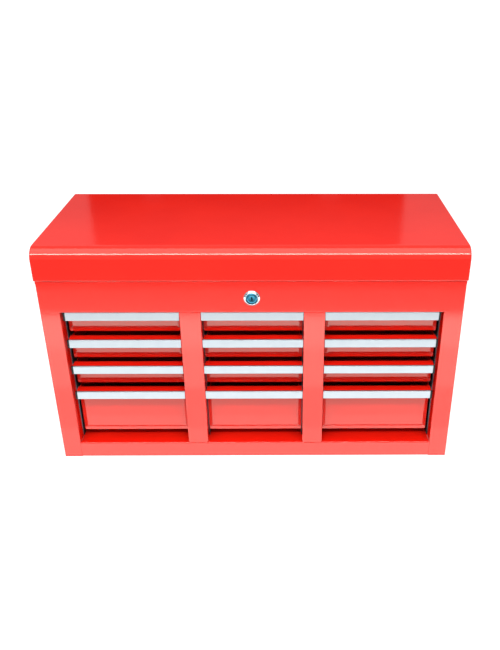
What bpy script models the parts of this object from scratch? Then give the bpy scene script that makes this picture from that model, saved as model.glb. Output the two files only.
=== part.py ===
"""A steel top chest for tools: a lift-up lid on gas struts over an open compartment, a front rail
with a cam lock, and three columns of four drawers with full-width pulls.

X is right, Y is back (the front faces -Y) and Z is up. The origin is on the ground under the
middle of the chest. Sizes are in metres.
"""

import math

import bmesh
import bpy
from mathutils import Matrix, Vector

# Overall sizes. The lid is the widest and deepest piece.
WIDTH = 0.600
DEPTH = 0.260
HEIGHT = 0.345
LID_HEIGHT = 0.0475
LID_OVERHANG = 0.0015  # how far the lid stands out past the cabinet, at the front and the sides

# Sheet metal.
SHEET = 0.001
GAP = 0.0003  # between pieces that touch
RUN_GAP = 0.0004  # between pieces that slide or turn on each other

# Front frame.
BASE_HEIGHT = 0.0255
FASCIA_HEIGHT = 0.048
STILE_WIDTH = 0.0275
STILE_HEAD = 0.0235  # the stile beside the fascia, where the fascia reaches over it
STILE_RETURN = 0.020
MULLION_WIDTH = 0.0303
MIDDLE_BAY = 0.146  # clear width between the two mullions
RIM_FLANGE = 0.009  # folded inwards round the top of the sides and the back
FASCIA_TOP_FLANGE = 0.012
BASE_RETURN = 0.015  # folded inwards round the foot of the base pan
PAN_RIM = 0.006  # turned up round the compartment's floor
PARTITION_CLEARANCE = 0.005  # behind the mullions and the slide racks

# Drawers: three thin rows over one deep row.
ROWS = 4
ROW_PITCH = 0.0437
ROW_GAP = 0.0055  # from a face's foot to the pull below it
BOTTOM_GAP = 0.0125  # from the lowest face's foot to the cabinet's floor
FACE_RECESS = 0.0185  # how far the faces stand behind the front frame
FACE_STILE_GAP = 0.0045
FACE_MULLION_GAP = 0.0012
DRAWER_BACK_CLEARANCE = 0.022
RIM_DROP = 0.004  # from the ledge down to the tray's side walls
RIM_WIDTH = 0.0032  # the hem on each side wall, which runs in the slide rack
RIM_THICKNESS = 0.0015
RIM_SETBACK = 0.006  # from the face back to where the hem starts

# Pulls: a C-shaped extrusion clipped over the lip of the drawer's ledge.
PULL_HEIGHT = 0.013
PULL_DEPTH = 0.0032
PULL_SETBACK = 0.0005  # behind the front frame's face
PULL_WALL = 0.001
PULL_ROUND = 0.0014
PULL_STILE_GAP = 0.0055
PULL_MULLION_GAP = 0.0005

# Lid.
LID_FRONT_BEND = 0.018
LID_REAR_BEND = 0.006
LID_HEM = 0.006

# Piano hinge.
HINGE_LENGTH = 0.560
KNUCKLES = 15
KNUCKLE_RADIUS = 0.0026
HINGE_PIN_RADIUS = 0.0011
HINGE_LEAF = 0.016

# Lock. The plug turns in the barrel, and its cam swings down over the foot of the lid's catch.
LOCK_DROP = 0.0255  # from the cabinet's top edge down to the lock's centre
BARREL_RADIUS = 0.0095
BARREL_LENGTH = 0.018  # behind the fascia
BEZEL_RADIUS = BARREL_RADIUS + 0.002
BEZEL_HEIGHT = 0.0026
PLUG_RADIUS = BARREL_RADIUS - 0.0023
KEYWAY = (0.0016, 0.0084, 0.006)  # width, height, depth
NUT_RADIUS = BARREL_RADIUS + 0.0035
NUT_THICKNESS = 0.004
CAM_LENGTH = 0.017
CAM_WIDTH = 0.009
CAM_THICKNESS = 0.0015
CATCH_WIDTH = 0.010

# Side handles.
HANDLE_PLATE = (0.116, 0.030, 0.0012)  # length, height, thickness
HANDLE_DROP = 0.0775  # from the cabinet's top edge down to the bail's axis
HANDLE_STAND_OFF = 0.0055  # from the plate's face out to the bail's axis
LUG_SPACING = 0.090
LUG_THICKNESS = 0.006
LUG_RADIUS = 0.0055
BAIL_RADIUS = 0.003
BAIL_REACH = 0.045
BAIL_BEND = 0.008

# Gas struts, one inside each side.
STRUT_FOOT = (0.000, -0.0235)  # from the middle of the depth, and from the cabinet's top edge
STRUT_HEAD = (-0.017, 0.0235)  # from the back, and from the cabinet's top edge
STRUT_INSET = 0.0205  # from the cabinet's side face to the strut's middle plane
TUBE_RADIUS = 0.0055
TUBE_LENGTH = 0.086
ROD_RADIUS = 0.0025
EYE_RADIUS = 0.006
STUD_RADIUS = 0.0035
BRACKET = (0.026, 0.018, 0.0012)  # length, height, thickness

# Planes and edges that several pieces share.
FRONT = -DEPTH / 2 + LID_OVERHANG
BACK = DEPTH / 2
SIDE = WIDTH / 2 - LID_OVERHANG
TOP = HEIGHT - LID_HEIGHT
OPENING_TOP = TOP - FASCIA_HEIGHT
OPENING_SIDE = SIDE - STILE_WIDTH
MULLION_NEAR = MIDDLE_BAY / 2
MULLION_FAR = MULLION_NEAR + MULLION_WIDTH
INSIDE = SIDE - SHEET - GAP
INSIDE_BACK = BACK - SHEET - GAP
PARTITION_BACK = INSIDE_BACK - PARTITION_CLEARANCE
FACE_Y = FRONT + FACE_RECESS
RACK_FRONT = FRONT + STILE_RETURN + GAP
SLIDE_SPACE = GAP + SHEET + RUN_GAP + RIM_WIDTH  # from a bay's edge to the tray's wall
PULL_FRONT = FRONT + PULL_SETBACK
LIP_Y = PULL_FRONT + PULL_WALL + GAP
LID_BOTTOM = TOP + GAP
HINGE_Y = BACK + GAP + KNUCKLE_RADIUS + GAP
HINGE_Z = TOP + GAP / 2
LOCK_Z = TOP - LOCK_DROP
HANDLE_X = SIDE + GAP + HANDLE_PLATE[2] + HANDLE_STAND_OFF
HANDLE_Z = TOP - HANDLE_DROP
STRUT_X = SIDE - STRUT_INSET

# (colour, roughness, metallic)
RED_PAINT = ((0.78, 0.02, 0.015), 0.28, 0.0)
ZINC = ((0.56, 0.57, 0.58), 0.42, 1.0)
ALUMINIUM = ((0.83, 0.86, 0.88), 0.38, 1.0)
CHROME = ((0.80, 0.81, 0.83), 0.10, 1.0)
BLACK_PAINT = ((0.02, 0.02, 0.022), 0.35, 0.0)


def clear_scene():
    for old in list(bpy.data.objects):
        bpy.data.objects.remove(old)


def finish(name, look):
    """A Principled material of one colour, roughness and metallic value."""
    colour, roughness, metallic = look
    material = bpy.data.materials.new(name)
    material.use_nodes = True
    shader = material.node_tree.nodes["Principled BSDF"]
    shader.inputs["Base Color"].default_value = (*colour, 1.0)
    shader.inputs["Roughness"].default_value = roughness
    shader.inputs["Metallic"].default_value = metallic
    return material


def mesh_of(body):
    """The bmesh as a mesh whose faces point out."""
    bmesh.ops.recalc_face_normals(body, faces=body.faces)
    mesh = bpy.data.meshes.new("solid")
    body.to_mesh(mesh)
    body.free()
    return mesh


def prism(outline, axis, start, end):
    """An outline in the other two axes, in X, Y, Z order, pushed along an axis."""
    across, up, along = {"X": (1, 2, 0), "Y": (0, 2, 1), "Z": (0, 1, 2)}[axis]
    body = bmesh.new()
    rings = []
    for place in (start, end):
        ring = []
        for u, v in outline:
            point = Vector((0, 0, 0))
            point[across], point[up], point[along] = u, v, place
            ring.append(body.verts.new(point))
        rings.append(ring)
        body.faces.new(ring)
    bmesh.ops.bridge_loops(
        body, edges=[edge for edge in body.edges if len(edge.link_faces) == 1]
    )
    return mesh_of(body)


def block(low, high):
    """A box from its lowest to its highest corner; either may be given first on each axis."""
    (x0, x1), (y0, y1), (z0, z1) = (sorted(pair) for pair in zip(low, high))
    return prism([(x0, y0), (x1, y0), (x1, y1), (x0, y1)], "Z", z0, z1)


def arc(centre, radius, start, end, steps):
    """Points from one angle to another, in degrees, on a circle."""
    angles = [start + (end - start) * i / steps for i in range(steps + 1)]
    return [
        (
            centre[0] + radius * math.cos(math.radians(angle)),
            centre[1] + radius * math.sin(math.radians(angle)),
        )
        for angle in angles
    ]


def disc(centre, radius, sides):
    return arc(centre, radius, 0, 360 - 360 / sides, sides - 1)


def rounded(centre, width, height, radius, steps=3):
    """A rectangle with round corners."""
    dx, dy = width / 2 - radius, height / 2 - radius
    points = []
    for turn, (sx, sy) in enumerate(((1, 1), (-1, 1), (-1, -1), (1, -1))):
        corner = (centre[0] + sx * dx, centre[1] + sy * dy)
        points += arc(corner, radius, 90 * turn, 90 * turn + 90, steps)
    return points


def fused(pieces, cutters=()):
    """One mesh from pieces that overlap, less the cutters."""
    work = bpy.data.objects.new("work", pieces[0])
    bpy.context.scene.collection.objects.link(work)
    helpers = []
    tasks = [(mesh, "UNION") for mesh in pieces[1:]] + [(mesh, "DIFFERENCE") for mesh in cutters]
    for mesh, operation in tasks:
        helper = bpy.data.objects.new("helper", mesh)
        bpy.context.scene.collection.objects.link(helper)
        helper.hide_render = True
        helper.display_type = "WIRE"
        boolean = work.modifiers.new(operation, "BOOLEAN")
        boolean.operation = operation
        boolean.solver = "EXACT"
        boolean.object = helper
        helpers.append(helper)
    bpy.context.view_layer.update()
    graph = bpy.context.evaluated_depsgraph_get()
    result = bpy.data.meshes.new_from_object(work.evaluated_get(graph))
    for used in [work, *helpers]:
        bpy.data.objects.remove(used)
    return result


def place(name, mesh, look, origin=(0, 0, 0), smooth=False):
    """A named object whose origin is moved to a point, with its shape left where it was made."""
    mesh.transform(Matrix.Translation(-Vector(origin)))
    mesh.materials.clear()
    mesh.materials.append(finish(name + "_finish", look))
    if smooth:
        mesh.shade_smooth()
        mesh.set_sharp_from_angle(angle=math.radians(35))
    part = bpy.data.objects.new(name, mesh)
    part.location = origin
    bpy.context.scene.collection.objects.link(part)
    return part


def hang(parts, name, origin):
    """Parents parts to an empty on their joint's axis, without moving them."""
    pivot = bpy.data.objects.new(name, None)
    pivot.location = origin
    bpy.context.scene.collection.objects.link(pivot)
    for part in parts:
        part.parent = pivot
        part.location = Vector(part.location) - Vector(origin)


# --- Cabinet ---------------------------------------------------------------------------------


def base_pan():
    """The floor, with walls folded down from it and flanges folded in round its foot."""
    front_half, wide_half = OPENING_SIDE - GAP, INSIDE
    notch = RACK_FRONT
    inner_back = INSIDE_BACK - SHEET
    outline = [
        (-front_half, FRONT),
        (front_half, FRONT),
        (front_half, notch),
        (wide_half, notch),
        (wide_half, INSIDE_BACK),
        (-wide_half, INSIDE_BACK),
        (-wide_half, notch),
        (-front_half, notch),
    ]
    pieces = [
        prism(outline, "Z", BASE_HEIGHT - SHEET, BASE_HEIGHT),
        block((-front_half, FRONT, 0), (front_half, FRONT + SHEET, BASE_HEIGHT)),
        block((-wide_half, inner_back, 0), (wide_half, INSIDE_BACK, BASE_HEIGHT)),
        block((-front_half, FRONT, 0), (front_half, FRONT + BASE_RETURN, SHEET)),
        block((-wide_half, INSIDE_BACK - BASE_RETURN, 0), (wide_half, INSIDE_BACK, SHEET)),
    ]
    for side in (-1, 1):
        pieces.append(
            block(
                (side * wide_half, notch, 0),
                (side * (wide_half - SHEET), INSIDE_BACK, BASE_HEIGHT),
            )
        )
        pieces.append(
            block(
                (side * wide_half, notch, 0),
                (side * (wide_half - BASE_RETURN), INSIDE_BACK, SHEET),
            )
        )
    place("base_pan", fused(pieces), RED_PAINT)


def cabinet_side(name, side):
    """A side panel with its stile, the stile's return and a rim flange, folded from one sheet."""
    head = SIDE - STILE_HEAD
    stile_top = OPENING_TOP - GAP
    stile = [
        (side * SIDE, FRONT),
        (side * OPENING_SIDE, FRONT),
        (side * OPENING_SIDE, FRONT + STILE_RETURN),
        (side * (OPENING_SIDE + SHEET), FRONT + STILE_RETURN),
        (side * (OPENING_SIDE + SHEET), FRONT + SHEET),
        (side * (SIDE - SHEET), FRONT + SHEET),
        (side * (SIDE - SHEET), BACK),
        (side * SIDE, BACK),
    ]
    pieces = [
        prism(stile, "Z", 0, stile_top),
        block((side * SIDE, FRONT, stile_top - SHEET), (side * (SIDE - SHEET), BACK, TOP)),
        block((side * SIDE, FRONT, stile_top - SHEET), (side * head, FRONT + SHEET, TOP)),
        block(
            (side * SIDE, FRONT, TOP - SHEET),
            (side * (SIDE - SHEET - RIM_FLANGE), INSIDE_BACK, TOP),
        ),
    ]
    place(name, fused(pieces), RED_PAINT)


def back_panel():
    """The back sheet, with a flange folded forwards along its top."""
    flange_half = SIDE - SHEET - RIM_FLANGE - GAP
    pieces = [
        block((-INSIDE, BACK - SHEET, 0), (INSIDE, BACK, TOP)),
        block((-flange_half, BACK - SHEET - RIM_FLANGE, TOP - SHEET), (flange_half, BACK, TOP)),
    ]
    place("back_panel", fused(pieces), RED_PAINT)


def front_fascia():
    """The rail under the lid, a channel with a round hole for the lock."""
    half = SIDE - STILE_HEAD - GAP
    outline = [
        (FRONT, OPENING_TOP),
        (FRONT + STILE_RETURN, OPENING_TOP),
        (FRONT + STILE_RETURN, OPENING_TOP + SHEET),
        (FRONT + SHEET, OPENING_TOP + SHEET),
        (FRONT + SHEET, TOP - SHEET),
        (FRONT + FASCIA_TOP_FLANGE, TOP - SHEET),
        (FRONT + FASCIA_TOP_FLANGE, TOP),
        (FRONT, TOP),
    ]
    hole = prism(
        disc((0, LOCK_Z), BARREL_RADIUS + RUN_GAP, 24), "Y", FRONT - SHEET, FRONT + 2 * SHEET
    )
    place("front_fascia", fused([prism(outline, "X", -half, half)], [hole]), RED_PAINT)


def mullion(name, side):
    """A hollow partition between two columns, open behind, whose face is flush with the frame."""
    near, far = side * MULLION_NEAR, side * MULLION_FAR
    outline = [
        (near, FRONT),
        (far, FRONT),
        (far, PARTITION_BACK),
        (far - side * SHEET, PARTITION_BACK),
        (far - side * SHEET, FRONT + SHEET),
        (near + side * SHEET, FRONT + SHEET),
        (near + side * SHEET, PARTITION_BACK),
        (near, PARTITION_BACK),
    ]
    place(name, prism(outline, "Z", BASE_HEIGHT + GAP, OPENING_TOP - GAP), RED_PAINT)


def compartment_floor():
    """The pan under the lid, standing on the fascia's lower flange."""
    low = OPENING_TOP + SHEET + GAP
    front = FRONT + SHEET + GAP
    outer = block((-INSIDE, front, low), (INSIDE, INSIDE_BACK, low + PAN_RIM))
    inner = block(
        (-INSIDE + SHEET, front + SHEET, low + SHEET),
        (INSIDE - SHEET, INSIDE_BACK - SHEET, low + 2 * PAN_RIM),
    )
    place("compartment_floor", fused([outer], [inner]), RED_PAINT)


# --- Columns, rows and slide racks -----------------------------------------------------------


def columns():
    """(name, low edge, high edge, True where that edge is a stile) for each bay, left to right."""
    return [
        ("left", -OPENING_SIDE, -MULLION_FAR, True, False),
        ("middle", -MULLION_NEAR, MULLION_NEAR, False, False),
        ("right", MULLION_FAR, OPENING_SIDE, False, True),
    ]


def rows():
    """(number, foot of the face, top of the pull) for each row, from the top down."""
    tops = [OPENING_TOP - GAP - ROW_PITCH * row for row in range(ROWS)]
    feet = [top + ROW_GAP for top in tops[1:]] + [BASE_HEIGHT + BOTTOM_GAP]
    return [(row + 1, feet[row], tops[row]) for row in range(ROWS)]


def ledge_top(pull_top):
    return pull_top - PULL_WALL - GAP


def rim_top(pull_top):
    return ledge_top(pull_top) - RIM_DROP


def slide_rack(name, edge, inwards, to_side):
    """The slides along one edge of a bay: a plate with two lips for each drawer's hem to run in.

    A rack beside a stile is bent out to the cabinet's side at both ends; the others lie flat
    against a mullion's wall.
    """
    skin = edge + inwards * GAP
    face = skin + inwards * SHEET
    lip = face + inwards * RIM_WIDTH
    low, high = BASE_HEIGHT + GAP, OPENING_TOP - GAP
    if to_side:
        wall = -inwards * INSIDE
        outline = [
            (face, RACK_FRONT),
            (wall, RACK_FRONT),
            (wall, RACK_FRONT + SHEET),
            (skin, RACK_FRONT + SHEET),
            (skin, PARTITION_BACK - SHEET),
            (wall, PARTITION_BACK - SHEET),
            (wall, PARTITION_BACK),
            (face, PARTITION_BACK),
        ]
    else:
        outline = [
            (face, RACK_FRONT),
            (skin, RACK_FRONT),
            (skin, PARTITION_BACK),
            (face, PARTITION_BACK),
        ]
    pieces = [prism(outline, "Z", low, high)]
    for _, _, pull_top in rows():
        above = rim_top(pull_top) + RUN_GAP
        below = rim_top(pull_top) - RIM_THICKNESS - RUN_GAP
        for foot, head in ((above, above + SHEET), (below - SHEET, below)):
            pieces.append(
                block((skin + inwards * SHEET / 2, RACK_FRONT, foot), (lip, PARTITION_BACK, head))
            )
    place(name, fused(pieces), ZINC)


def slide_racks():
    for name, low, high, low_stile, high_stile in columns():
        slide_rack(f"slide_rack_{name}_a", low, 1, low_stile)
        slide_rack(f"slide_rack_{name}_b", high, -1, high_stile)


# --- Drawers ---------------------------------------------------------------------------------


def drawer_tray(column, foot, pull_top):
    """A tray folded from one sheet: its front rises to a ledge that turns forwards and down."""
    _, low, high, low_stile, high_stile = column
    face_low = low + (FACE_STILE_GAP if low_stile else FACE_MULLION_GAP)
    face_high = high - (FACE_STILE_GAP if high_stile else FACE_MULLION_GAP)
    wall_low, wall_high = low + SLIDE_SPACE, high - SLIDE_SPACE
    ledge, rim = ledge_top(pull_top), rim_top(pull_top)
    lip_foot = pull_top - PULL_HEIGHT + PULL_WALL + GAP
    rear = INSIDE_BACK - DRAWER_BACK_CLEARANCE
    front = [
        (LIP_Y, lip_foot),
        (LIP_Y, ledge),
        (FACE_Y + SHEET, ledge),
        (FACE_Y + SHEET, foot),
        (FACE_Y, foot),
        (FACE_Y, ledge - SHEET),
        (LIP_Y + SHEET, ledge - SHEET),
        (LIP_Y + SHEET, lip_foot),
    ]
    channel = [
        (wall_low, foot),
        (wall_high, foot),
        (wall_high, rim),
        (wall_high - SHEET, rim),
        (wall_high - SHEET, foot + SHEET),
        (wall_low + SHEET, foot + SHEET),
        (wall_low + SHEET, rim),
        (wall_low, rim),
    ]
    overlap = SHEET / 2
    hem_front = FACE_Y + RIM_SETBACK
    return fused(
        [
            prism(front, "X", face_low, face_high),
            prism(channel, "Y", FACE_Y + overlap, rear),
            block((wall_low, rear - SHEET, foot), (wall_high, rear, rim)),
            block(
                (wall_low - RIM_WIDTH, hem_front, rim - RIM_THICKNESS),
                (wall_low + overlap, rear, rim),
            ),
            block(
                (wall_high - overlap, hem_front, rim - RIM_THICKNESS),
                (wall_high + RIM_WIDTH, rear, rim),
            ),
        ]
    )


def drawer_pull(column, pull_top):
    """The C-shaped extrusion along the top of a drawer's front."""
    _, low, high, low_stile, high_stile = column
    start = low + (PULL_STILE_GAP if low_stile else PULL_MULLION_GAP)
    end = high - (PULL_STILE_GAP if high_stile else PULL_MULLION_GAP)
    foot = pull_top - PULL_HEIGHT
    back = PULL_FRONT + PULL_DEPTH
    bend = PULL_FRONT + PULL_ROUND
    inner = PULL_ROUND - PULL_WALL
    outline = (
        [(back, pull_top)]
        + arc((bend, pull_top - PULL_ROUND), PULL_ROUND, 90, 180, 4)
        + arc((bend, foot + PULL_ROUND), PULL_ROUND, 180, 270, 4)
        + [(back, foot), (back, foot + PULL_WALL)]
        + arc((bend, foot + PULL_ROUND), inner, 270, 180, 2)
        + arc((bend, pull_top - PULL_ROUND), inner, 180, 90, 2)
        + [(back, pull_top - PULL_WALL)]
    )
    return prism(outline, "X", start, end)


def drawers():
    for column in columns():
        name, low, high = column[:3]
        for row, foot, pull_top in rows():
            origin = ((low + high) / 2, FACE_Y, foot)
            tray_mesh, pull_mesh = drawer_tray(column, foot, pull_top), drawer_pull(column, pull_top)
            tray = place(f"drawer_{name}_{row}", tray_mesh, RED_PAINT, origin)
            pull = place(f"pull_{name}_{row}", pull_mesh, ALUMINIUM, origin, smooth=True)
            hang([tray, pull], f"drawer_slide_{name}_{row}", origin)


# --- Lid and hinge ---------------------------------------------------------------------------


def lid_outline(inset, foot):
    """The lid's cross-section, front to back, drawn in by a wall's thickness."""
    front_bend = (-DEPTH / 2 + LID_FRONT_BEND, HEIGHT - LID_FRONT_BEND)
    rear_bend = (DEPTH / 2 - LID_REAR_BEND, HEIGHT - LID_REAR_BEND)
    return (
        [(-DEPTH / 2 + inset, foot)]
        + arc(front_bend, LID_FRONT_BEND - inset, 180, 90, 8)
        + arc(rear_bend, LID_REAR_BEND - inset, 90, 0, 4)
        + [(DEPTH / 2 - inset, foot)]
    )


def lid_shell(pivot):
    """The lid: a bent sheet closed by its ends, hemmed in along the front and the sides."""
    half = WIDTH / 2
    shell = prism(lid_outline(0, LID_BOTTOM), "X", -half, half)
    hollow = prism(lid_outline(SHEET, LID_BOTTOM - SHEET), "X", -half + SHEET, half - SHEET)
    body = fused([shell], [hollow])
    hem_top = LID_BOTTOM + SHEET
    overlap = SHEET / 2
    hems = [
        block(
            (-half + overlap, -DEPTH / 2 + overlap, LID_BOTTOM),
            (half - overlap, -DEPTH / 2 + LID_HEM, hem_top),
        )
    ]
    for side in (-1, 1):
        hems.append(
            block(
                (side * (half - overlap), -DEPTH / 2 + overlap, LID_BOTTOM),
                (side * (half - LID_HEM), BACK - 2 * LID_HEM, hem_top),
            )
        )
    return place("lid_shell", fused([body, *hems]), RED_PAINT, pivot, smooth=True)


def hinge_leaf(name, up, segments, pivot):
    """One leaf of the piano hinge, with the knuckles that belong to it."""
    near, far = BACK + GAP, BACK + GAP + SHEET
    root = HINGE_Z + up * (KNUCKLE_RADIUS + GAP)
    tip = HINGE_Z + up * HINGE_LEAF
    meet = math.degrees(math.acos((HINGE_Y - far) / KNUCKLE_RADIUS))
    curl = arc((HINGE_Y, HINGE_Z), KNUCKLE_RADIUS, 180, 180 + up * (360 - meet), 11)
    knuckle = [(near, root + up * SHEET), (near, HINGE_Z), *curl, (far, root + up * SHEET)]
    pitch = HINGE_LENGTH / KNUCKLES
    pieces = [block((-HINGE_LENGTH / 2, near, root), (HINGE_LENGTH / 2, far, tip))]
    for segment in segments:
        start = -HINGE_LENGTH / 2 + pitch * segment
        pieces.append(prism(knuckle, "X", start + GAP, start + pitch - GAP))
    bore = prism(
        disc((HINGE_Y, HINGE_Z), HINGE_PIN_RADIUS + RUN_GAP / 2, 12),
        "X",
        -HINGE_LENGTH,
        HINGE_LENGTH,
    )
    return place(name, fused(pieces, [bore]), ZINC, pivot, smooth=True)


def hinge_pin(pivot):
    rod = prism(
        disc((HINGE_Y, HINGE_Z), HINGE_PIN_RADIUS, 12), "X", -HINGE_LENGTH / 2, HINGE_LENGTH / 2
    )
    place("hinge_pin", rod, ZINC, pivot, smooth=True)


def lid_catch(pivot):
    """A folded strip inside the lid's front, whose foot the lock's cam holds down."""
    skirt = -DEPTH / 2 + SHEET + GAP
    drop = FRONT + STILE_RETURN - SHEET
    arm = LID_BOTTOM + LID_HEM
    foot = LOCK_Z - CAM_WIDTH / 2 - GAP - SHEET
    toe = drop + PARTITION_CLEARANCE + 2 * SHEET
    outline = [
        (skirt, arm + 3 * LID_HEM),
        (skirt, arm),
        (drop - SHEET, arm),
        (drop - SHEET, foot),
        (toe, foot),
        (toe, foot + SHEET),
        (drop, foot + SHEET),
        (drop, arm + SHEET),
        (skirt + SHEET, arm + SHEET),
        (skirt + SHEET, arm + 3 * LID_HEM),
    ]
    start = BARREL_RADIUS + 2 * SHEET
    return place("lid_catch", prism(outline, "X", start, start + CATCH_WIDTH), ZINC, pivot)


def lid():
    pivot = (0, HINGE_Y, HINGE_Z)
    moving = [lid_shell(pivot), hinge_leaf("hinge_leaf_lid", 1, range(1, KNUCKLES, 2), pivot)]
    moving.append(lid_catch(pivot))
    for name, side in (("left", -1), ("right", 1)):
        moving.append(strut_bracket(f"strut_bracket_lid_{name}", side, strut_head(), WIDTH / 2, pivot))
    hang(moving, "lid_axis", pivot)
    hinge_leaf("hinge_leaf_cabinet", -1, range(0, KNUCKLES, 2), pivot)
    hinge_pin(pivot)


# --- Gas struts ------------------------------------------------------------------------------


def strut_foot():
    return Vector((0, STRUT_FOOT[0], TOP + STRUT_FOOT[1]))


def strut_head():
    return Vector((0, BACK + STRUT_HEAD[0], TOP + STRUT_HEAD[1]))


def strut_bracket(name, side, centre, wall, origin):
    """A plate on a side wall's inner face, with a stud that reaches in to the strut's eye."""
    length, height, thickness = BRACKET
    outer = wall - SHEET - GAP
    tip = STRUT_X + EYE_RADIUS + GAP
    plate = prism(
        rounded((centre.y, centre.z), length, height, 0.004),
        "X",
        side * (outer - thickness),
        side * outer,
    )
    stud = prism(
        disc((centre.y, centre.z), STUD_RADIUS, 12), "X", side * tip, side * (outer - thickness / 2)
    )
    return place(name, fused([plate, stud]), ZINC, origin, smooth=True)


def turned(mesh, centre, angle, x):
    """Moves a mesh made along +Y from the origin to a centre, pitched up by an angle."""
    mesh.transform(
        Matrix.Translation((x, centre.y, centre.z)) @ Matrix.Rotation(angle, 4, "X")
    )
    return mesh


def strut(name, side):
    """The tube on the cabinet's stud and the rod that reaches the lid's stud."""
    foot, head = strut_foot(), strut_head()
    span = head - foot
    angle = math.atan2(span.z, span.y)
    length = span.length
    bore = ROD_RADIUS + RUN_GAP
    eye = prism(disc((0, 0), EYE_RADIUS, 16), "X", -EYE_RADIUS, EYE_RADIUS)
    barrel = prism(disc((0, 0), TUBE_RADIUS, 16), "Y", EYE_RADIUS / 2, TUBE_LENGTH)
    hollow = prism(disc((0, 0), bore, 12), "Y", 2 * EYE_RADIUS, TUBE_LENGTH + EYE_RADIUS)
    tube = turned(fused([eye, barrel], [hollow]), foot, angle, side * STRUT_X)
    foot_origin = (side * STRUT_X, foot.y, foot.z)
    tube_part = place(f"strut_tube_{name}", tube, BLACK_PAINT, foot_origin, smooth=True)
    far_eye = prism(
        [(length + y, z) for y, z in disc((0, 0), EYE_RADIUS, 16)], "X", -EYE_RADIUS, EYE_RADIUS
    )
    shaft = prism(disc((0, 0), ROD_RADIUS, 12), "Y", 3 * EYE_RADIUS, length - EYE_RADIUS / 2)
    rod = turned(fused([far_eye, shaft]), foot, angle, side * STRUT_X)
    rod_part = place(f"strut_rod_{name}", rod, CHROME, foot_origin, smooth=True)
    hang([tube_part, rod_part], f"strut_axis_{name}", foot_origin)
    strut_bracket(f"strut_bracket_cabinet_{name}", side, foot, SIDE, foot_origin)


# --- Lock ------------------------------------------------------------------------------------


def ring(outer, inner, start, end):
    return fused([prism(outer, "Y", start, end)], [prism(inner, "Y", start - SHEET, end + SHEET)])


def lock():
    centre = (0, LOCK_Z)
    front = FRONT - GAP
    rear = FRONT + BARREL_LENGTH
    bore = disc(centre, PLUG_RADIUS + GAP, 24)
    bezel = prism(disc(centre, BEZEL_RADIUS, 24), "Y", front - BEZEL_HEIGHT, front)
    barrel = prism(disc(centre, BARREL_RADIUS, 24), "Y", front - BEZEL_HEIGHT / 2, rear)
    hollow = prism(bore, "Y", front - 2 * BEZEL_HEIGHT, rear + SHEET)
    axis = (0, FRONT, LOCK_Z)
    place("lock_barrel", fused([bezel, barrel], [hollow]), CHROME, axis, smooth=True)
    back_of_fascia = FRONT + SHEET + GAP
    nut = ring(
        disc(centre, NUT_RADIUS, 6),
        disc(centre, BARREL_RADIUS + RUN_GAP, 24),
        back_of_fascia,
        back_of_fascia + NUT_THICKNESS,
    )
    place("lock_nut", nut, ZINC, axis)
    width, height, depth = KEYWAY
    face = front - BEZEL_HEIGHT
    plug_rear = rear + SHEET
    plug = prism(disc(centre, PLUG_RADIUS, 24), "Y", face, plug_rear)
    keyway = block(
        (-width / 2, face - depth, LOCK_Z - height / 2), (width / 2, face + depth, LOCK_Z + height / 2)
    )
    moving = [place("lock_plug", fused([plug], [keyway]), CHROME, axis, smooth=True)]
    cam_front = plug_rear + GAP
    reach = CAM_LENGTH - CAM_WIDTH / 2
    half = CAM_WIDTH / 2
    outline = arc(centre, half, 180, 360, 8) + arc((0, LOCK_Z + reach), half, 0, 180, 8)
    moving.append(
        place("lock_cam", prism(outline, "Y", cam_front, cam_front + CAM_THICKNESS), ZINC, axis)
    )
    hang(moving, "lock_axis", axis)


# --- Side handles ----------------------------------------------------------------------------


def handle_plate(name, side):
    """A plate on the side panel with two lugs that carry the bail."""
    length, height, thickness = HANDLE_PLATE
    inner = SIDE + GAP
    outer = inner + thickness
    plate = prism(rounded((0, HANDLE_Z), length, height, 0.006), "X", side * inner, side * outer)
    pieces = [plate]
    for end in (-1, 1):
        middle = end * LUG_SPACING / 2
        nose = arc((HANDLE_X, HANDLE_Z), LUG_RADIUS, -90, 90, 8)
        root = inner + thickness / 2
        outline = [(root, HANDLE_Z - LUG_RADIUS), *nose, (root, HANDLE_Z + LUG_RADIUS)]
        pieces.append(
            prism(
                [(side * x, z) for x, z in outline],
                "Y",
                middle - LUG_THICKNESS / 2,
                middle + LUG_THICKNESS / 2,
            )
        )
    hole = prism(
        disc((side * HANDLE_X, HANDLE_Z), BAIL_RADIUS + RUN_GAP, 12), "Y", -length, length
    )
    origin = (side * HANDLE_X, 0, HANDLE_Z)
    place(name, fused(pieces, [hole]), CHROME, origin, smooth=True)


def bail_path():
    """The bail's centre line in its own plane: across, and down from its axis."""
    tip = LUG_SPACING / 2 - LUG_THICKNESS / 2 - GAP - BAIL_RADIUS / 2
    leg = LUG_SPACING / 2 + LUG_THICKNESS / 2 + GAP + BAIL_BEND
    quarter = [(tip, 0), *arc((leg - BAIL_BEND, -BAIL_BEND), BAIL_BEND, 90, 0, 5)]
    corner = arc((leg - BAIL_BEND, -BAIL_REACH + BAIL_BEND), BAIL_BEND, 0, -90, 5)
    half = quarter + corner
    return half + [(-across, down) for across, down in reversed(half)]


def handle_bail(name, side):
    origin = (side * HANDLE_X, 0, HANDLE_Z)
    curve = bpy.data.curves.new(name, "CURVE")
    curve.dimensions = "3D"
    curve.bevel_depth = BAIL_RADIUS
    curve.bevel_resolution = 2
    curve.use_fill_caps = True
    path = bail_path()
    spline = curve.splines.new("POLY")
    spline.points.add(len(path) - 1)
    for point, (across, down) in zip(spline.points, path):
        point.co = (0, across, down, 1)
    curve.materials.append(finish(name + "_finish", CHROME))
    bail = bpy.data.objects.new(name, curve)
    bail.location = origin
    bpy.context.scene.collection.objects.link(bail)


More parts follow.
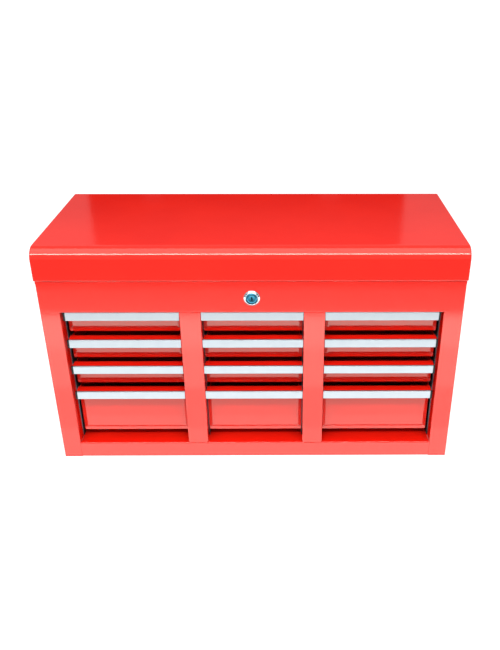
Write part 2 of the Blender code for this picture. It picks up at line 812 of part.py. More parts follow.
def main():
    clear_scene()
    base_pan()
    cabinet_side("side_left", -1)
    cabinet_side("side_right", 1)
    back_panel()
    front_fascia()
    mullion("mullion_left", -1)
    mullion("mullion_right", 1)
    compartment_floor()
    slide_racks()
    drawers()
    lid()
    for name, side in (("left", -1), ("right", 1)):
        strut(name, side)
        handle_plate(f"handle_plate_{name}", side)
        handle_bail(f"handle_bail_{name}", side)
    lock()


main()
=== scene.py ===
"""The looks of a red steel top chest: a lift-up lid, three columns of drawers and their fittings.

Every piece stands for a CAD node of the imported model, rides on its body and takes its place from
the node's box. X is right, Y is back, Z is up, and sizes are in metres.
"""

import logging
import math
from collections.abc import Iterable, Sequence
from dataclasses import dataclass, field
from enum import Enum

import bmesh
import bpy
from mathutils import Euler, Matrix, Vector


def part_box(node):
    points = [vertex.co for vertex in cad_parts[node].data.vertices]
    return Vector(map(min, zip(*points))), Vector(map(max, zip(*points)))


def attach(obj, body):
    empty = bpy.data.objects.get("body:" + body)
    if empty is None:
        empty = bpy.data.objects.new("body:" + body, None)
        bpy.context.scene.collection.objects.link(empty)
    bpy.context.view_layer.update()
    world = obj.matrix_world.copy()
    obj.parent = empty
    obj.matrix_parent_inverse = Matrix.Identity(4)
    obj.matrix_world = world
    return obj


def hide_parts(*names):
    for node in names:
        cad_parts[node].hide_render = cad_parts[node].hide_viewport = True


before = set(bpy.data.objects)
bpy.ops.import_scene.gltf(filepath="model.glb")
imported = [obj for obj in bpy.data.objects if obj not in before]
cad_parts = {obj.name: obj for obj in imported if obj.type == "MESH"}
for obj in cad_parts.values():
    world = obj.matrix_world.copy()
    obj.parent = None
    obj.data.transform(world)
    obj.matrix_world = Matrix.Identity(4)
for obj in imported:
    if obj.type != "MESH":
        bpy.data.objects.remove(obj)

Point = tuple[float, float]
Triple = tuple[float, float, float]
Colour = tuple[float, float, float, float]

log = logging.getLogger("top_chest")
MM = 0.001
SHEET = 1.0 * MM
GAP = 0.3 * MM  # clearance between parts that are not joined
ROWS = 4  # drawers in a column; the last one is the deep one
RIM_DROP = 4 * MM  # from a drawer's ledge down to its tray's rim
HEM_HEIGHT = 1.5 * MM
SHARP_ANGLE = math.radians(38)  # steeper edges stay sharp in the shading
BEVEL_ANGLE = math.radians(40)  # steeper edges are rounded


# --- Colour and nodes ------------------------------------------------------------------------


def linear(colour: str) -> Colour:
    """Turns an sRGB hex colour into linear light.

    Args:
        colour: the colour as "#RRGGBB".

    Returns:
        Linear red, green, blue and an alpha of 1.
    """
    values = [int(colour[i : i + 2], 16) / 255 for i in (1, 3, 5)]
    red, green, blue = (
        v / 12.92 if v <= 0.04045 else ((v + 0.055) / 1.055) ** 2.4 for v in values
    )
    return red, green, blue, 1.0


def add_node(
    tree: bpy.types.NodeTree,
    kind: str,
    settings: dict[str | int, object] | None = None,
    links: dict[str | int, bpy.types.NodeSocket] | None = None,
) -> bpy.types.Node:
    """Adds a node, sets it up and wires its inputs.

    Args:
        tree: the node tree that gets the node.
        kind: the node's type name.
        settings: values for its inputs, by name or number, and for its own properties.
        links: the output sockets that feed its inputs.

    Returns:
        The new node.
    """
    node = tree.nodes.new(kind)
    for key, value in (settings or {}).items():
        if isinstance(key, str) and hasattr(node, key):
            setattr(node, key, value)
        else:
            node.inputs[key].default_value = value
    for key, socket in (links or {}).items():
        tree.links.new(socket, node.inputs[key])
    return node


# --- Finishes --------------------------------------------------------------------------------


@dataclass(frozen=True)
class Finish:
    """A surface finish, built once as a material.

    Attributes:
        name: the material's name.
        colour: its sRGB hex colour.
        roughness: the Principled roughness.
    """

    name: str
    colour: str
    roughness: float

    def material(self) -> bpy.types.Material:
        """Returns the finish's material, building it the first time."""
        found = bpy.data.materials.get(self.name)
        if found:
            return found
        made = bpy.data.materials.new(self.name)
        made.use_nodes = True
        tree = made.node_tree
        shader = tree.nodes["Principled BSDF"]
        shader.inputs["Base Color"].default_value = linear(self.colour)
        shader.inputs["Roughness"].default_value = self.roughness
        place = add_node(tree, "ShaderNodeTexCoord").outputs["Object"]
        self.dress(tree, shader, place)
        return made

    def dress(
        self, tree: bpy.types.NodeTree, shader: bpy.types.Node, place: bpy.types.NodeSocket
    ) -> None:
        """Adds the finish's own pattern; the plain finish has none.

        Args:
            tree: the material's node tree.
            shader: its Principled node.
            place: the object coordinates.
        """

    def blend(
        self,
        tree: bpy.types.NodeTree,
        shader: bpy.types.Node,
        pattern: bpy.types.NodeSocket,
        other: Colour,
    ) -> None:
        """Blends the finish's colour into another over a pattern.

        Args:
            tree: the material's node tree.
            shader: its Principled node.
            pattern: a pattern from 0, the finish's colour, to 1, the other.
            other: the other colour, in linear light.
        """
        colour = add_node(
            tree,
            "ShaderNodeMix",
            {"data_type": "RGBA", 6: linear(self.colour), 7: other},
            {0: pattern},
        ).outputs[2]
        tree.links.new(colour, shader.inputs["Base Color"])

    def darker(self, share: float) -> Colour:
        """The finish's colour with only a share of its light, in linear light."""
        return (*(channel * share for channel in linear(self.colour)[:3]), 1.0)

    def dull(
        self,
        tree: bpy.types.NodeTree,
        shader: bpy.types.Node,
        pattern: bpy.types.NodeSocket,
        least: float,
        most: float,
    ) -> None:
        """Varies the roughness over a pattern.

        Args:
            tree: the material's node tree.
            shader: its Principled node.
            pattern: a pattern from 0 to 1.
            least: the roughness where the pattern is 0.
            most: the roughness where it is 1.
        """
        gloss = add_node(
            tree, "ShaderNodeMapRange", {"To Min": least, "To Max": most}, {"Value": pattern}
        ).outputs["Result"]
        tree.links.new(gloss, shader.inputs["Roughness"])

    def relief(
        self,
        tree: bpy.types.NodeTree,
        shader: bpy.types.Node,
        heights: Sequence[tuple[bpy.types.NodeSocket, float]],
        normal: str = "Normal",
    ) -> None:
        """Chains bump nodes into the shader.

        Args:
            tree: the material's node tree.
            shader: its Principled node.
            heights: each height pattern with its depth in metres.
            normal: the shader input that takes the result.
        """
        bent = None
        for height, depth in heights:
            wires = {"Height": height} | ({"Normal": bent} if bent else {})
            bent = add_node(
                tree, "ShaderNodeBump", {"Distance": depth, "Strength": 1.0}, wires
            ).outputs["Normal"]
        tree.links.new(bent, shader.inputs[normal])


@dataclass(frozen=True)
class StovedEnamel(Finish):
    """Gloss enamel, sprayed and stoved on steel.

    The film has orange peel, low waves a few millimetres across that ripple the reflections, and
    its thickness drifts over the sheet, which shifts the colour a little.
    """

    deep: str = "#C40F08"
    drift_width: float = 90 * MM
    peel_width: float = 3.2 * MM
    peel_depth: float = 0.04 * MM

    def dress(
        self, tree: bpy.types.NodeTree, shader: bpy.types.Node, place: bpy.types.NodeSocket
    ) -> None:
        """Adds the drift in colour and the orange peel.

        Args:
            tree: the material's node tree.
            shader: its Principled node.
            place: the object coordinates.
        """
        drift = add_node(
            tree,
            "ShaderNodeTexNoise",
            {"Scale": 1 / self.drift_width, "Detail": 3.0, "Roughness": 0.55},
            {"Vector": place},
        ).outputs["Fac"]
        flow = add_node(
            tree,
            "ShaderNodeMapRange",
            {"From Min": 0.3, "From Max": 0.7, "To Min": 0.0, "To Max": 0.4},
            {"Value": drift},
        ).outputs["Result"]
        self.blend(tree, shader, flow, linear(self.deep))
        peel = add_node(
            tree,
            "ShaderNodeTexNoise",
            {"Scale": 1 / self.peel_width, "Detail": 2.0, "Roughness": 0.45},
            {"Vector": place},
        ).outputs["Fac"]
        shader.inputs["IOR"].default_value = 1.5
        shader.inputs["Specular Tint"].default_value = linear("#FFFAED")
        self.relief(tree, shader, [(peel, self.peel_depth)])


@dataclass(frozen=True)
class DrawnAluminium(Finish):
    """Silver anodised aluminium, drawn through a die.

    The die leaves faint straight lines along the length, and the anodising softens them to satin.
    """

    pale: str = "#92999D"
    line_width: float = 1.2 * MM
    line_depth: float = 0.004 * MM
    cloud_width: float = 12 * MM

    def dress(
        self, tree: bpy.types.NodeTree, shader: bpy.types.Node, place: bpy.types.NodeSocket
    ) -> None:
        """Adds the die lines, stretched along X, and the pale clouds of the anodising.

        Args:
            tree: the material's node tree.
            shader: its Principled node.
            place: the object coordinates.
        """
        stretched = add_node(
            tree,
            "ShaderNodeMapping",
            {"Scale": (0.02, 1.0, 1.0)},
            {"Vector": place},
        ).outputs["Vector"]
        lines = add_node(
            tree,
            "ShaderNodeTexNoise",
            {"Scale": 1 / self.line_width, "Detail": 2.0, "Roughness": 0.6},
            {"Vector": stretched},
        ).outputs["Fac"]
        clouds = add_node(
            tree,
            "ShaderNodeTexNoise",
            {"Scale": 1 / self.cloud_width, "Detail": 3.0},
            {"Vector": place},
        ).outputs["Fac"]
        self.blend(tree, shader, clouds, linear(self.pale))
        self.dull(tree, shader, lines, self.roughness - 0.05, self.roughness + 0.07)
        shader.inputs["Metallic"].default_value = 1.0
        self.relief(tree, shader, [(lines, self.line_depth)])


@dataclass(frozen=True)
class ZincPlate(Finish):
    """Bright zinc plating on pressed steel.

    Plating leaves a grain of slightly cooler and duller patches a few millimetres across.
    """

    cool: str = "#A9B4C0"
    patch_width: float = 4 * MM
    patch_depth: float = 0.006 * MM
    haze_width: float = 15 * MM

    def dress(
        self, tree: bpy.types.NodeTree, shader: bpy.types.Node, place: bpy.types.NodeSocket
    ) -> None:
        """Adds the plating's patches to colour, gloss and relief.

        Args:
            tree: the material's node tree.
            shader: its Principled node.
            place: the object coordinates.
        """
        patches = add_node(
            tree, "ShaderNodeTexVoronoi", {"Scale": 1 / self.patch_width}, {"Vector": place}
        ).outputs["Distance"]
        haze = add_node(
            tree,
            "ShaderNodeTexNoise",
            {"Scale": 1 / self.haze_width, "Detail": 4.0},
            {"Vector": place},
        ).outputs["Fac"]
        self.blend(tree, shader, haze, linear(self.cool))
        self.dull(tree, shader, haze, self.roughness - 0.06, self.roughness + 0.12)
        shader.inputs["Metallic"].default_value = 1.0
        self.relief(tree, shader, [(patches, self.patch_depth)])


@dataclass(frozen=True)
class ChromePlate(Finish):
    """Bright chrome on polished metal.

    It mirrors its surroundings, with hairline polishing marks and a faint wave. Real marks are too
    fine to show, so they are drawn coarser.
    """

    mark_width: float = 0.6 * MM
    wave_width: float = 6 * MM

    def dress(
        self, tree: bpy.types.NodeTree, shader: bpy.types.Node, place: bpy.types.NodeSocket
    ) -> None:
        """Adds the polishing marks and the wave.

        Args:
            tree: the material's node tree.
            shader: its Principled node.
            place: the object coordinates.
        """
        marks = add_node(
            tree,
            "ShaderNodeTexNoise",
            {"Scale": 1 / self.mark_width, "Detail": 2.0, "Distortion": 0.6},
            {"Vector": place},
        ).outputs["Fac"]
        self.dull(tree, shader, marks, self.roughness * 0.6, self.roughness * 1.6)
        wave = add_node(
            tree,
            "ShaderNodeTexNoise",
            {"Scale": 1 / self.wave_width, "Detail": 1.0},
            {"Vector": place},
        ).outputs["Fac"]
        shader.inputs["Metallic"].default_value = 1.0
        self.blend(tree, shader, wave, self.darker(0.88))
        self.relief(tree, shader, [(wave, 0.01 * MM), (marks, 0.001 * MM)])


@dataclass(frozen=True)
class MouldedPlastic(Finish):
    """Black ABS or nylon, moulded against a lightly sparked tool.

    The tool leaves a fine grain that dulls the gloss, so the parts read as near black.
    """

    grain: float = 0.9 * MM

    def dress(
        self, tree: bpy.types.NodeTree, shader: bpy.types.Node, place: bpy.types.NodeSocket
    ) -> None:
        """Adds the sparked grain.

        Args:
            tree: the material's node tree.
            shader: its Principled node.
            place: the object coordinates.
        """
        shader.inputs["Specular IOR Level"].default_value = 0.15
        spark = add_node(
            tree,
            "ShaderNodeTexNoise",
            {"Scale": 1 / self.grain, "Detail": 3.0, "Roughness": 0.6},
            {"Vector": place},
        ).outputs["Fac"]
        self.dull(tree, shader, spark, self.roughness - 0.08, self.roughness + 0.1)
        self.blend(tree, shader, spark, self.darker(0.6))
        self.relief(tree, shader, [(spark, 0.02 * MM)])


@dataclass(frozen=True)
class PaintedShadeBlack(Finish):
    """Painted shade: a near-black finish that barely reflects.

    It is set where there is only shade, in the lock's keyhole and at the bottom of its spanner
    notches, so that they look dark.
    """

    mottle_width: float = 0.5 * MM

    def dress(
        self, tree: bpy.types.NodeTree, shader: bpy.types.Node, place: bpy.types.NodeSocket
    ) -> None:
        """Adds a faint mottle to the painted shade.

        Args:
            tree: the material's node tree.
            shader: its Principled node.
            place: the object coordinates.
        """
        shader.inputs["IOR"].default_value = 1.05
        mottle = add_node(
            tree,
            "ShaderNodeTexNoise",
            {"Scale": 1 / self.mottle_width, "Detail": 2.0},
            {"Vector": place},
        ).outputs["Fac"]
        self.blend(tree, shader, mottle, self.darker(0.5))
        self.relief(tree, shader, [(mottle, 0.05 * MM)])


@dataclass(frozen=True)
class LightTable(Finish):
    """Matt opal acrylic lit from below, so that it takes next to no shadow."""

    glow: float = 0.92
    tooth_width: float = 2 * MM

    def dress(
        self, tree: bpy.types.NodeTree, shader: bpy.types.Node, place: bpy.types.NodeSocket
    ) -> None:
        """Adds the glow and the acrylic's faint tooth.

        Args:
            tree: the material's node tree.
            shader: its Principled node.
            place: the object coordinates.
        """
        shader.inputs["Emission Color"].default_value = (1, 1, 1, 1)
        shader.inputs["Emission Strength"].default_value = self.glow
        tooth = add_node(
            tree,
            "ShaderNodeTexNoise",
            {"Scale": 1 / self.tooth_width, "Detail": 2.0},
            {"Vector": place},
        ).outputs["Fac"]
        self.relief(tree, shader, [(tooth, 0.03 * MM)])


RED_ENAMEL = StovedEnamel("red_stoved_enamel_on_steel", "#D5190B", 0.085)
PULL_ALUMINIUM = DrawnAluminium("anodised_drawn_aluminium", "#8A9196", 0.45)
ZINC = ZincPlate("bright_zinc_plated_steel", "#BFC3C4", 0.34)
# Painted shade: the slide racks' zinc is made dark so that the gaps beside the drawers read as
# shaded.
SHADE_DARKENED_ZINC = ZincPlate("dull_zinc_plated_steel", "#4A4D50", 0.5, "#3C4248")
CHROME = ChromePlate("polished_chrome_plate", "#C4C8CC", 0.09)
BLUED_ZINC = ChromePlate("blue_passivated_zinc_plug", "#30687C", 0.2)
BLACK_ENAMEL = StovedEnamel("black_stoved_enamel_tube", "#0B0B0D", 0.12, "#050506")
BLACK_PLASTIC = MouldedPlastic("black_moulded_nylon", "#0E0E10", 0.45)
# Painted shade: near black that barely reflects, for the lock's keyhole and spanner notches.
SHADE_BLACK = PaintedShadeBlack("painted_shade_black", "#060606", 0.9)
OPAL = LightTable("opal_acrylic_light_table", "#979797", 0.9)


# --- Outlines --------------------------------------------------------------------------------


def arc(centre: Point, radius: float, start: float, end: float, steps: int) -> list[Point]:
    """Points along part of a circle.

    Args:
        centre: the circle's centre.
        radius: its radius.
        start: the first angle, in degrees.
        end: the last angle, in degrees.
        steps: how many straight lines the arc is made of.

    Returns:
        The points from start to end.
    """
    turns = [math.radians(start + (end - start) * i / steps) for i in range(steps + 1)]
    return [(centre[0] + radius * math.cos(a), centre[1] + radius * math.sin(a)) for a in turns]


def disc(centre: Point, radius: float, sides: int = 48) -> list[Point]:
    """A circle as a closed ring of points, which starts at its right."""
    return arc(centre, radius, 0, 360 - 360 / sides, sides - 1)


def rounded(centre: Point, width: float, height: float, radius: float) -> list[Point]:
    """A rectangle with round corners.

    Args:
        centre: its middle.
        width: its size across.
        height: its size up.
        radius: its corners' radius.

    Returns:
        The closed ring of points.
    """
    dx, dy = width / 2 - radius, height / 2 - radius
    ring = []
    for turn, (sx, sy) in enumerate(((1, 1), (-1, 1), (-1, -1), (1, -1))):
        corner = (centre[0] + sx * dx, centre[1] + sy * dy)
        ring += arc(corner, radius, 90 * turn, 90 * turn + 90, 6)
    return ring


def folded(
    corners: Sequence[Point], radii: float | Sequence[float], steps: int = 6
) -> list[Point]:
    """An open line whose inner corners are bent round.

    Args:
        corners: the line's ends and corners.
        radii: one bend radius for all corners, or one for each inner corner.
        steps: how many straight lines each bend is made of.

    Returns:
        The points of the bent line.
    """
    inner = len(corners) - 2
    radii = [radii] * inner if isinstance(radii, (int, float)) else radii
    line = [corners[0]]
    for before, here, after, radius in zip(corners, corners[1:], corners[2:], radii):
        p, a, b = Vector(here), Vector(before), Vector(after)
        back, on = (a - p).normalized(), (b - p).normalized()
        half = math.acos(max(-1.0, min(1.0, back.dot(on)))) / 2
        reach = radius / math.tan(half)
        middle = p + (back + on).normalized() * (radius / math.sin(half))
        first, last = p + back * reach - middle, p + on * reach - middle
        sweep = first.angle_signed(last)
        for i in range(steps + 1):
            turned = first.copy()
            turned.rotate(Matrix.Rotation(-sweep * i / steps, 2))
            line.append(tuple(middle + turned))
    return [*line, corners[-1]]


def walled(line: Sequence[Point], thickness: float) -> list[Point]:
    """The closed section of a sheet that has a line as one of its faces.

    Args:
        line: the open line.
        thickness: the sheet's thickness, to the left of the line's run, or to the right if it is
            negative.

    Returns:
        The section as a closed ring of points.
    """
    points = [Vector(p) for p in line]
    runs = [(b - a).normalized() for a, b in zip(points, points[1:])]
    normals = [Vector((-run.y, run.x)) for run in runs]
    other = []
    for i, point in enumerate(points):
        beside = normals[max(i - 1, 0) : i + 1]
        mean = sum(beside, Vector((0, 0))).normalized()
        other.append(point + mean * (thickness / mean.dot(beside[0])))
    return [tuple(p) for p in points] + [tuple(p) for p in reversed(other)]


# --- Meshes ----------------------------------------------------------------------------------


class Axis(Enum):
    """The axis that an outline is pushed along: the two axes of the outline, then its own."""

    X = (1, 2, 0)
    Y = (0, 2, 1)
    Z = (0, 1, 2)

    def point(self, across: float, up: float, along: float) -> Vector:
        """A point of the outline at a place on the axis.

        Args:
            across: the outline's first number.
            up: its second.
            along: the place on the axis.

        Returns:
            The point in space.
        """
        point = Vector((0, 0, 0))
        point[self.value[0]], point[self.value[1]], point[self.value[2]] = across, up, along
        return point


def placed(name: str, data: bpy.types.ID) -> bpy.types.Object:
    """Adds an object that shows some data to the scene.

    Args:
        name: the object's name.
        data: its mesh, curve, light or camera.

    Returns:
        The new object.
    """
    thing = bpy.data.objects.new(name, data)
    bpy.context.scene.collection.objects.link(thing)
    return thing


def plain_mesh(work: bpy.types.Object) -> bpy.types.Mesh:
    """Turns an object into a plain mesh and removes the object.

    Args:
        work: the object, with any modifiers that shape it.

    Returns:
        Its evaluated mesh, with no modifier left.
    """
    bpy.context.view_layer.update()
    graph = bpy.context.evaluated_depsgraph_get()
    result = bpy.data.meshes.new_from_object(work.evaluated_get(graph))
    work.modifiers.clear()
    bpy.data.objects.remove(work)
    return result


def as_mesh(body: bmesh.types.BMesh) -> bpy.types.Mesh:
    """Turns a bmesh into a mesh whose faces point out.

    Args:
        body: the bmesh, which is freed.

    Returns:
        The mesh.
    """
    bmesh.ops.remove_doubles(body, verts=body.verts, dist=1e-7)
    bmesh.ops.recalc_face_normals(body, faces=body.faces)
    mesh = bpy.data.meshes.new("work")
    body.to_mesh(mesh)
    body.free()
    return mesh


def prism(outline: Sequence[Point], axis: Axis, start: float, end: float) -> bpy.types.Mesh:
    """A closed outline pushed along an axis.

    Args:
        outline: points in the two other axes, in X, Y, Z order.
        axis: the axis to push along.
        start: where the prism starts on the axis.
        end: where it ends.

    Returns:
        The closed mesh.
    """
    body = bmesh.new()
    rings = [[body.verts.new(axis.point(u, v, at)) for u, v in outline] for at in (start, end)]
    for ring in rings:
        body.faces.new(ring)
    for i in range(len(outline)):
        j = (i + 1) % len(outline)
        body.faces.new((rings[0][i], rings[0][j], rings[1][j], rings[1][i]))
    return as_mesh(body)


def block(low: Sequence[float], high: Sequence[float]) -> bpy.types.Mesh:
    """A plain block, to be joined, cut or rounded.

    Args:
        low: one corner.
        high: the opposite corner; the two may be given in any order.

    Returns:
        The closed mesh.
    """
    (x0, x1), (y0, y1), (z0, z1) = (sorted(pair) for pair in zip(low, high))
    return prism([(x0, y0), (x1, y0), (x1, y1), (x0, y1)], Axis.Z, z0, z1)


def turned(profile: Sequence[Point], axis: Axis, centre: Point, sides: int = 48) -> bpy.types.Mesh:
    """A turned part.

    Args:
        profile: radius and place along the axis, from one end to the other; a first and a last
            radius of 0 close the part, and otherwise it is a ring and the profile is closed.
        axis: the axis that it turns about.
        centre: where the axis stands in the two other axes.
        sides: how many sides the turning has.

    Returns:
        The closed mesh.
    """
    body = bmesh.new()
    ring = profile[0][0] > 0
    rows = []
    for radius, along in profile:
        if radius == 0:
            rows.append([body.verts.new(axis.point(*centre, along))])
        else:
            rows.append(
                [body.verts.new(axis.point(u, v, along)) for u, v in disc(centre, radius, sides)]
            )
    pairs = list(zip(rows, rows[1:])) + ([(rows[-1], rows[0])] if ring else [])
    for lower, upper in pairs:
        for i in range(sides):
            j = (i + 1) % sides
            corners = [lower[i % len(lower)], lower[j % len(lower)]]
            corners += [upper[j % len(upper)], upper[i % len(upper)]]
            body.faces.new(list(dict.fromkeys(corners)))
    return as_mesh(body)


def joined(meshes: Iterable[bpy.types.Mesh]) -> bpy.types.Mesh:
    """Puts several meshes into one.

    Args:
        meshes: the meshes, which may stand in each other.

    Returns:
        The one mesh.
    """
    body = bmesh.new()
    for mesh in meshes:
        body.from_mesh(mesh)
    mesh = bpy.data.meshes.new("work")
    body.to_mesh(mesh)
    body.free()
    return mesh


def evaluated(mesh: bpy.types.Mesh, modifiers: Sequence[tuple[str, dict]]) -> bpy.types.Mesh:
    """Runs a mesh through modifiers.

    Args:
        mesh: the mesh to start from.
        modifiers: each modifier's type with its settings.

    Returns:
        The finished mesh, with no modifier left.
    """
    work = placed("work", mesh)
    for kind, settings in modifiers:
        modifier = work.modifiers.new(kind, kind)
        for name, value in settings.items():
            setattr(modifier, name, value)
    return plain_mesh(work)


def carved(
    mesh: bpy.types.Mesh, cutters: Sequence[bpy.types.Mesh], adds: Sequence[bpy.types.Mesh] = ()
) -> bpy.types.Mesh:
    """Adds meshes to a mesh and cuts others from it.

    Args:
        mesh: the mesh to work on.
        cutters: closed meshes to take away.
        adds: closed meshes to fuse on first.

    Returns:
        The closed result.
    """
    helpers, steps = [], []
    for tool, operation in [(m, "UNION") for m in adds] + [(m, "DIFFERENCE") for m in cutters]:
        helper = placed("tool", tool)
        helpers.append(helper)
        steps.append(("BOOLEAN", {"operation": operation, "solver": "EXACT", "object": helper}))
    result = evaluated(mesh, steps)
    for helper in helpers:
        bpy.data.objects.remove(helper)
    return result


def softened(mesh: bpy.types.Mesh, width: float, segments: int = 2) -> bpy.types.Mesh:
    """Rounds a mesh's sharp edges.

    Args:
        mesh: the mesh to round.
        width: how far the rounding reaches from an edge.
        segments: how many faces it is made of.

    Returns:
        The rounded mesh.
    """
    settings = {"width": width, "segments": segments, "use_clamp_overlap": True}
    limits = {"limit_method": "ANGLE", "angle_limit": BEVEL_ANGLE}
    return evaluated(mesh, [("BEVEL", settings | limits)])


def mount(
    name: str,
    mesh: bpy.types.Mesh,
    finish: Finish,
    body: str,
    nodes: Sequence[str] = (),
) -> bpy.types.Object:
    """Makes a piece from a mesh, dresses it and puts it on its body.

    Args:
        name: the piece's name.
        mesh: its mesh, in its place.
        finish: its finish.
        body: the CAD body that it rides on.
        nodes: the CAD nodes that it stands for.

    Returns:
        The finished piece.
    """
    mesh.shade_smooth()
    mesh.set_sharp_from_angle(angle=SHARP_ANGLE)
    mesh = evaluated(mesh, [("WEIGHTED_NORMAL", {"keep_sharp": True, "weight": 80})])
    mesh.name = name
    mesh.materials.clear()
    mesh.materials.append(finish.material())
    piece = placed(name, mesh)
    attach(piece, body)
    if nodes:
        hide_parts(*nodes)
    log.info("%s: %d faces on %s", name, len(mesh.polygons), body)
    return piece


@dataclass(frozen=True)
class Box:
    """A CAD node's box."""

    low: Vector
    high: Vector

    @classmethod
    def of(cls, node: str) -> "Box":
        """The box of a node by name."""
        return cls(*(Vector(corner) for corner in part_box(node)))

    @property
    def centre(self) -> Vector:
        """The middle of the box."""
        return (self.low + self.high) / 2

    @property
    def size(self) -> Vector:
        """The box's width, depth and height."""
        return self.high - self.low


class Side(Enum):
    """A side of the chest, with the sign of its X."""

    LEFT = -1
    RIGHT = 1

    @property
    def word(self) -> str:
        """The side's name in piece names."""
        return self.name.lower()


# --- Fasteners -------------------------------------------------------------------------------


class NodeShape:
    """A Geometry Nodes tree with named inputs, run once and turned into a plain mesh."""

    def __init__(self, name: str, inputs: dict[str, tuple[str, object]]) -> None:
        """Makes the tree with its inputs.

        Args:
            name: the tree's name.
            inputs: each input's socket type and value.
        """
        self.tree = bpy.data.node_groups.new(name, "GeometryNodeTree")
        face = self.tree.interface
        face.new_socket("Geometry", in_out="INPUT", socket_type="NodeSocketGeometry")
        face.new_socket("Geometry", in_out="OUTPUT", socket_type="NodeSocketGeometry")
        self.values = {}
        for label, (kind, value) in inputs.items():
            socket = face.new_socket(label, in_out="INPUT", socket_type=kind)
            self.values[socket.identifier] = value
        self.given = self.add("NodeGroupInput").outputs
        self.result = self.add("NodeGroupOutput")

    def add(
        self, kind: str, settings: dict | None = None, links: dict | None = None
    ) -> bpy.types.Node:
        """Adds a node to the tree, as add_node does."""
        return add_node(self.tree, kind, settings, links)

    def mesh(self, instances: bpy.types.NodeSocket, finish: Finish) -> bpy.types.Mesh:
        """Ends the tree with Realize Instances and Set Material and runs it.

        Args:
            instances: the socket that holds the instances.
            finish: the finish that the tree sets.

        Returns:
            The plain mesh.
        """
        real = self.add("GeometryNodeRealizeInstances", links={"Geometry": instances})
        smooth = self.add("GeometryNodeSetShadeSmooth", links={"Geometry": real.outputs[0]})
        dressed = self.add(
            "GeometryNodeSetMaterial",
            {"Material": finish.material()},
            {"Geometry": smooth.outputs[0]},
        )
        self.tree.links.new(dressed.outputs[0], self.result.inputs[0])
        holder = placed("holder", bpy.data.meshes.new("holder"))
        modifier = holder.modifiers.new("shape", "NODES")
        modifier.node_group = self.tree
        for identifier, value in self.values.items():
            modifier[identifier] = value
        return plain_mesh(holder)


@dataclass
class RivetRow:
    """A row of dome-headed rivets along a straight line.

    Attributes:
        start: the first rivet's place, on the sheet.
        end: the last rivet's place.
        count: how many there are.
        facing: the way the heads face.
        radius: a head's radius.
        height: how far a head stands up.
    """

    start: Triple
    end: Triple
    count: int
    facing: Triple
    radius: float = 2.4 * MM
    height: float = 0.9 * MM

    def mesh(self, finish: Finish) -> bpy.types.Mesh:
        """Makes the whole row.

        Args:
            finish: the finish of the heads.

        Returns:
            The row as one mesh.
        """
        turn = Vector((0, 0, 1)).rotation_difference(Vector(self.facing)).to_euler()
        shape = NodeShape(
            "rivet_row",
            {
                "Start": ("NodeSocketVector", self.start),
                "End": ("NodeSocketVector", self.end),
                "Count": ("NodeSocketInt", self.count),
                "Head Radius": ("NodeSocketFloat", self.radius),
                "Head Height": ("NodeSocketFloat", self.height),
                "Turn": ("NodeSocketVector", tuple(turn)),
            },
        )
        given = shape.given
        line = shape.add(
            "GeometryNodeMeshLine",
            {"mode": "END_POINTS"},
            {"Count": given["Count"], "Start Location": given["Start"], "Offset": given["End"]},
        )
        size = shape.add(
            "ShaderNodeCombineXYZ",
            links={0: given["Head Radius"], 1: given["Head Radius"], 2: given["Head Height"]},
        )
        ball = shape.add("GeometryNodeMeshUVSphere", {"Segments": 16, "Rings": 8, "Radius": 1.0})
        head = shape.add(
            "GeometryNodeTransform", links={"Geometry": ball.outputs[0], "Scale": size.outputs[0]}
        )
        spots = shape.add(
            "GeometryNodeInstanceOnPoints",
            links={
                "Points": line.outputs[0],
                "Instance": head.outputs[0],
                "Rotation": given["Turn"],
            },
        )
        return shape.mesh(spots.outputs[0], finish)


# --- Lid -------------------------------------------------------------------------------------


@dataclass
class Lid:
    """The lid: one sheet bent over the front and the back, closed by its ends and hemmed in."""

    sheet: float = SHEET
    front_bend: float = 18 * MM
    rear_bend: float = 6 * MM
    fold: float = 1.3 * MM
    hem: float = 6 * MM
    box: Box = field(default_factory=lambda: Box.of("lid_shell"))

    def section(self, inset: float, foot: float) -> list[Point]:
        """The lid's section from the front foot over the top to the rear foot.

        Args:
            inset: how far the section is drawn in.
            foot: the height of its foot.

        Returns:
            Points in Y and Z.
        """
        low, high = self.box.low, self.box.high
        front = (low.y + self.front_bend, high.z - self.front_bend)
        rear = (high.y - self.rear_bend, high.z - self.rear_bend)
        return [
            (low.y + inset, foot),
            *arc(front, self.front_bend - inset, 180, 90, 20),
            *arc(rear, self.rear_bend - inset, 90, 0, 10),
            (high.y - inset, foot),
        ]

    def shell(self) -> bpy.types.Mesh:
        """The hollow lid, open below inside its hems."""
        low, high = self.box.low, self.box.high
        solid = softened(prism(self.section(0, low.z), Axis.X, low.x, high.x), self.fold, 4)
        inside = self.section(self.sheet, low.z + self.sheet)
        hollow = prism(inside, Axis.X, low.x + self.sheet, high.x - self.sheet)
        mouth = block(
            (low.x + self.hem, low.y + self.hem, low.z - self.sheet),
            (high.x - self.hem, high.y - self.sheet, low.z + 2 * self.sheet),
        )
        return carved(solid, [hollow, mouth])

    def catch(self) -> bpy.types.Mesh:
        """The folded strip inside the front that the lock's cam holds down."""
        box = Box.of("lid_catch")
        sheet = self.sheet
        root = box.high.z - 2 * self.hem - sheet
        line = [
            (box.low.y, box.high.z),
            (box.low.y, root - sheet / 2),
            (box.high.y - 9.5 * sheet, root - sheet / 2),
            (box.high.y - 9.5 * sheet, box.low.z),
            (box.high.y, box.low.z),
        ]
        outline = walled(folded(line, [1.3 * MM, 0.4 * MM, 1.3 * MM]), sheet)
        return softened(prism(outline, Axis.X, box.low.x, box.high.x), 0.2 * MM)

    def build(self) -> None:
        """Makes the lid and its catch."""
        mount("lid_shell_skin", self.shell(), RED_ENAMEL, "lid", ["lid_shell"])
        mount("lid_catch_strip", self.catch(), ZINC, "lid", ["lid_catch"])


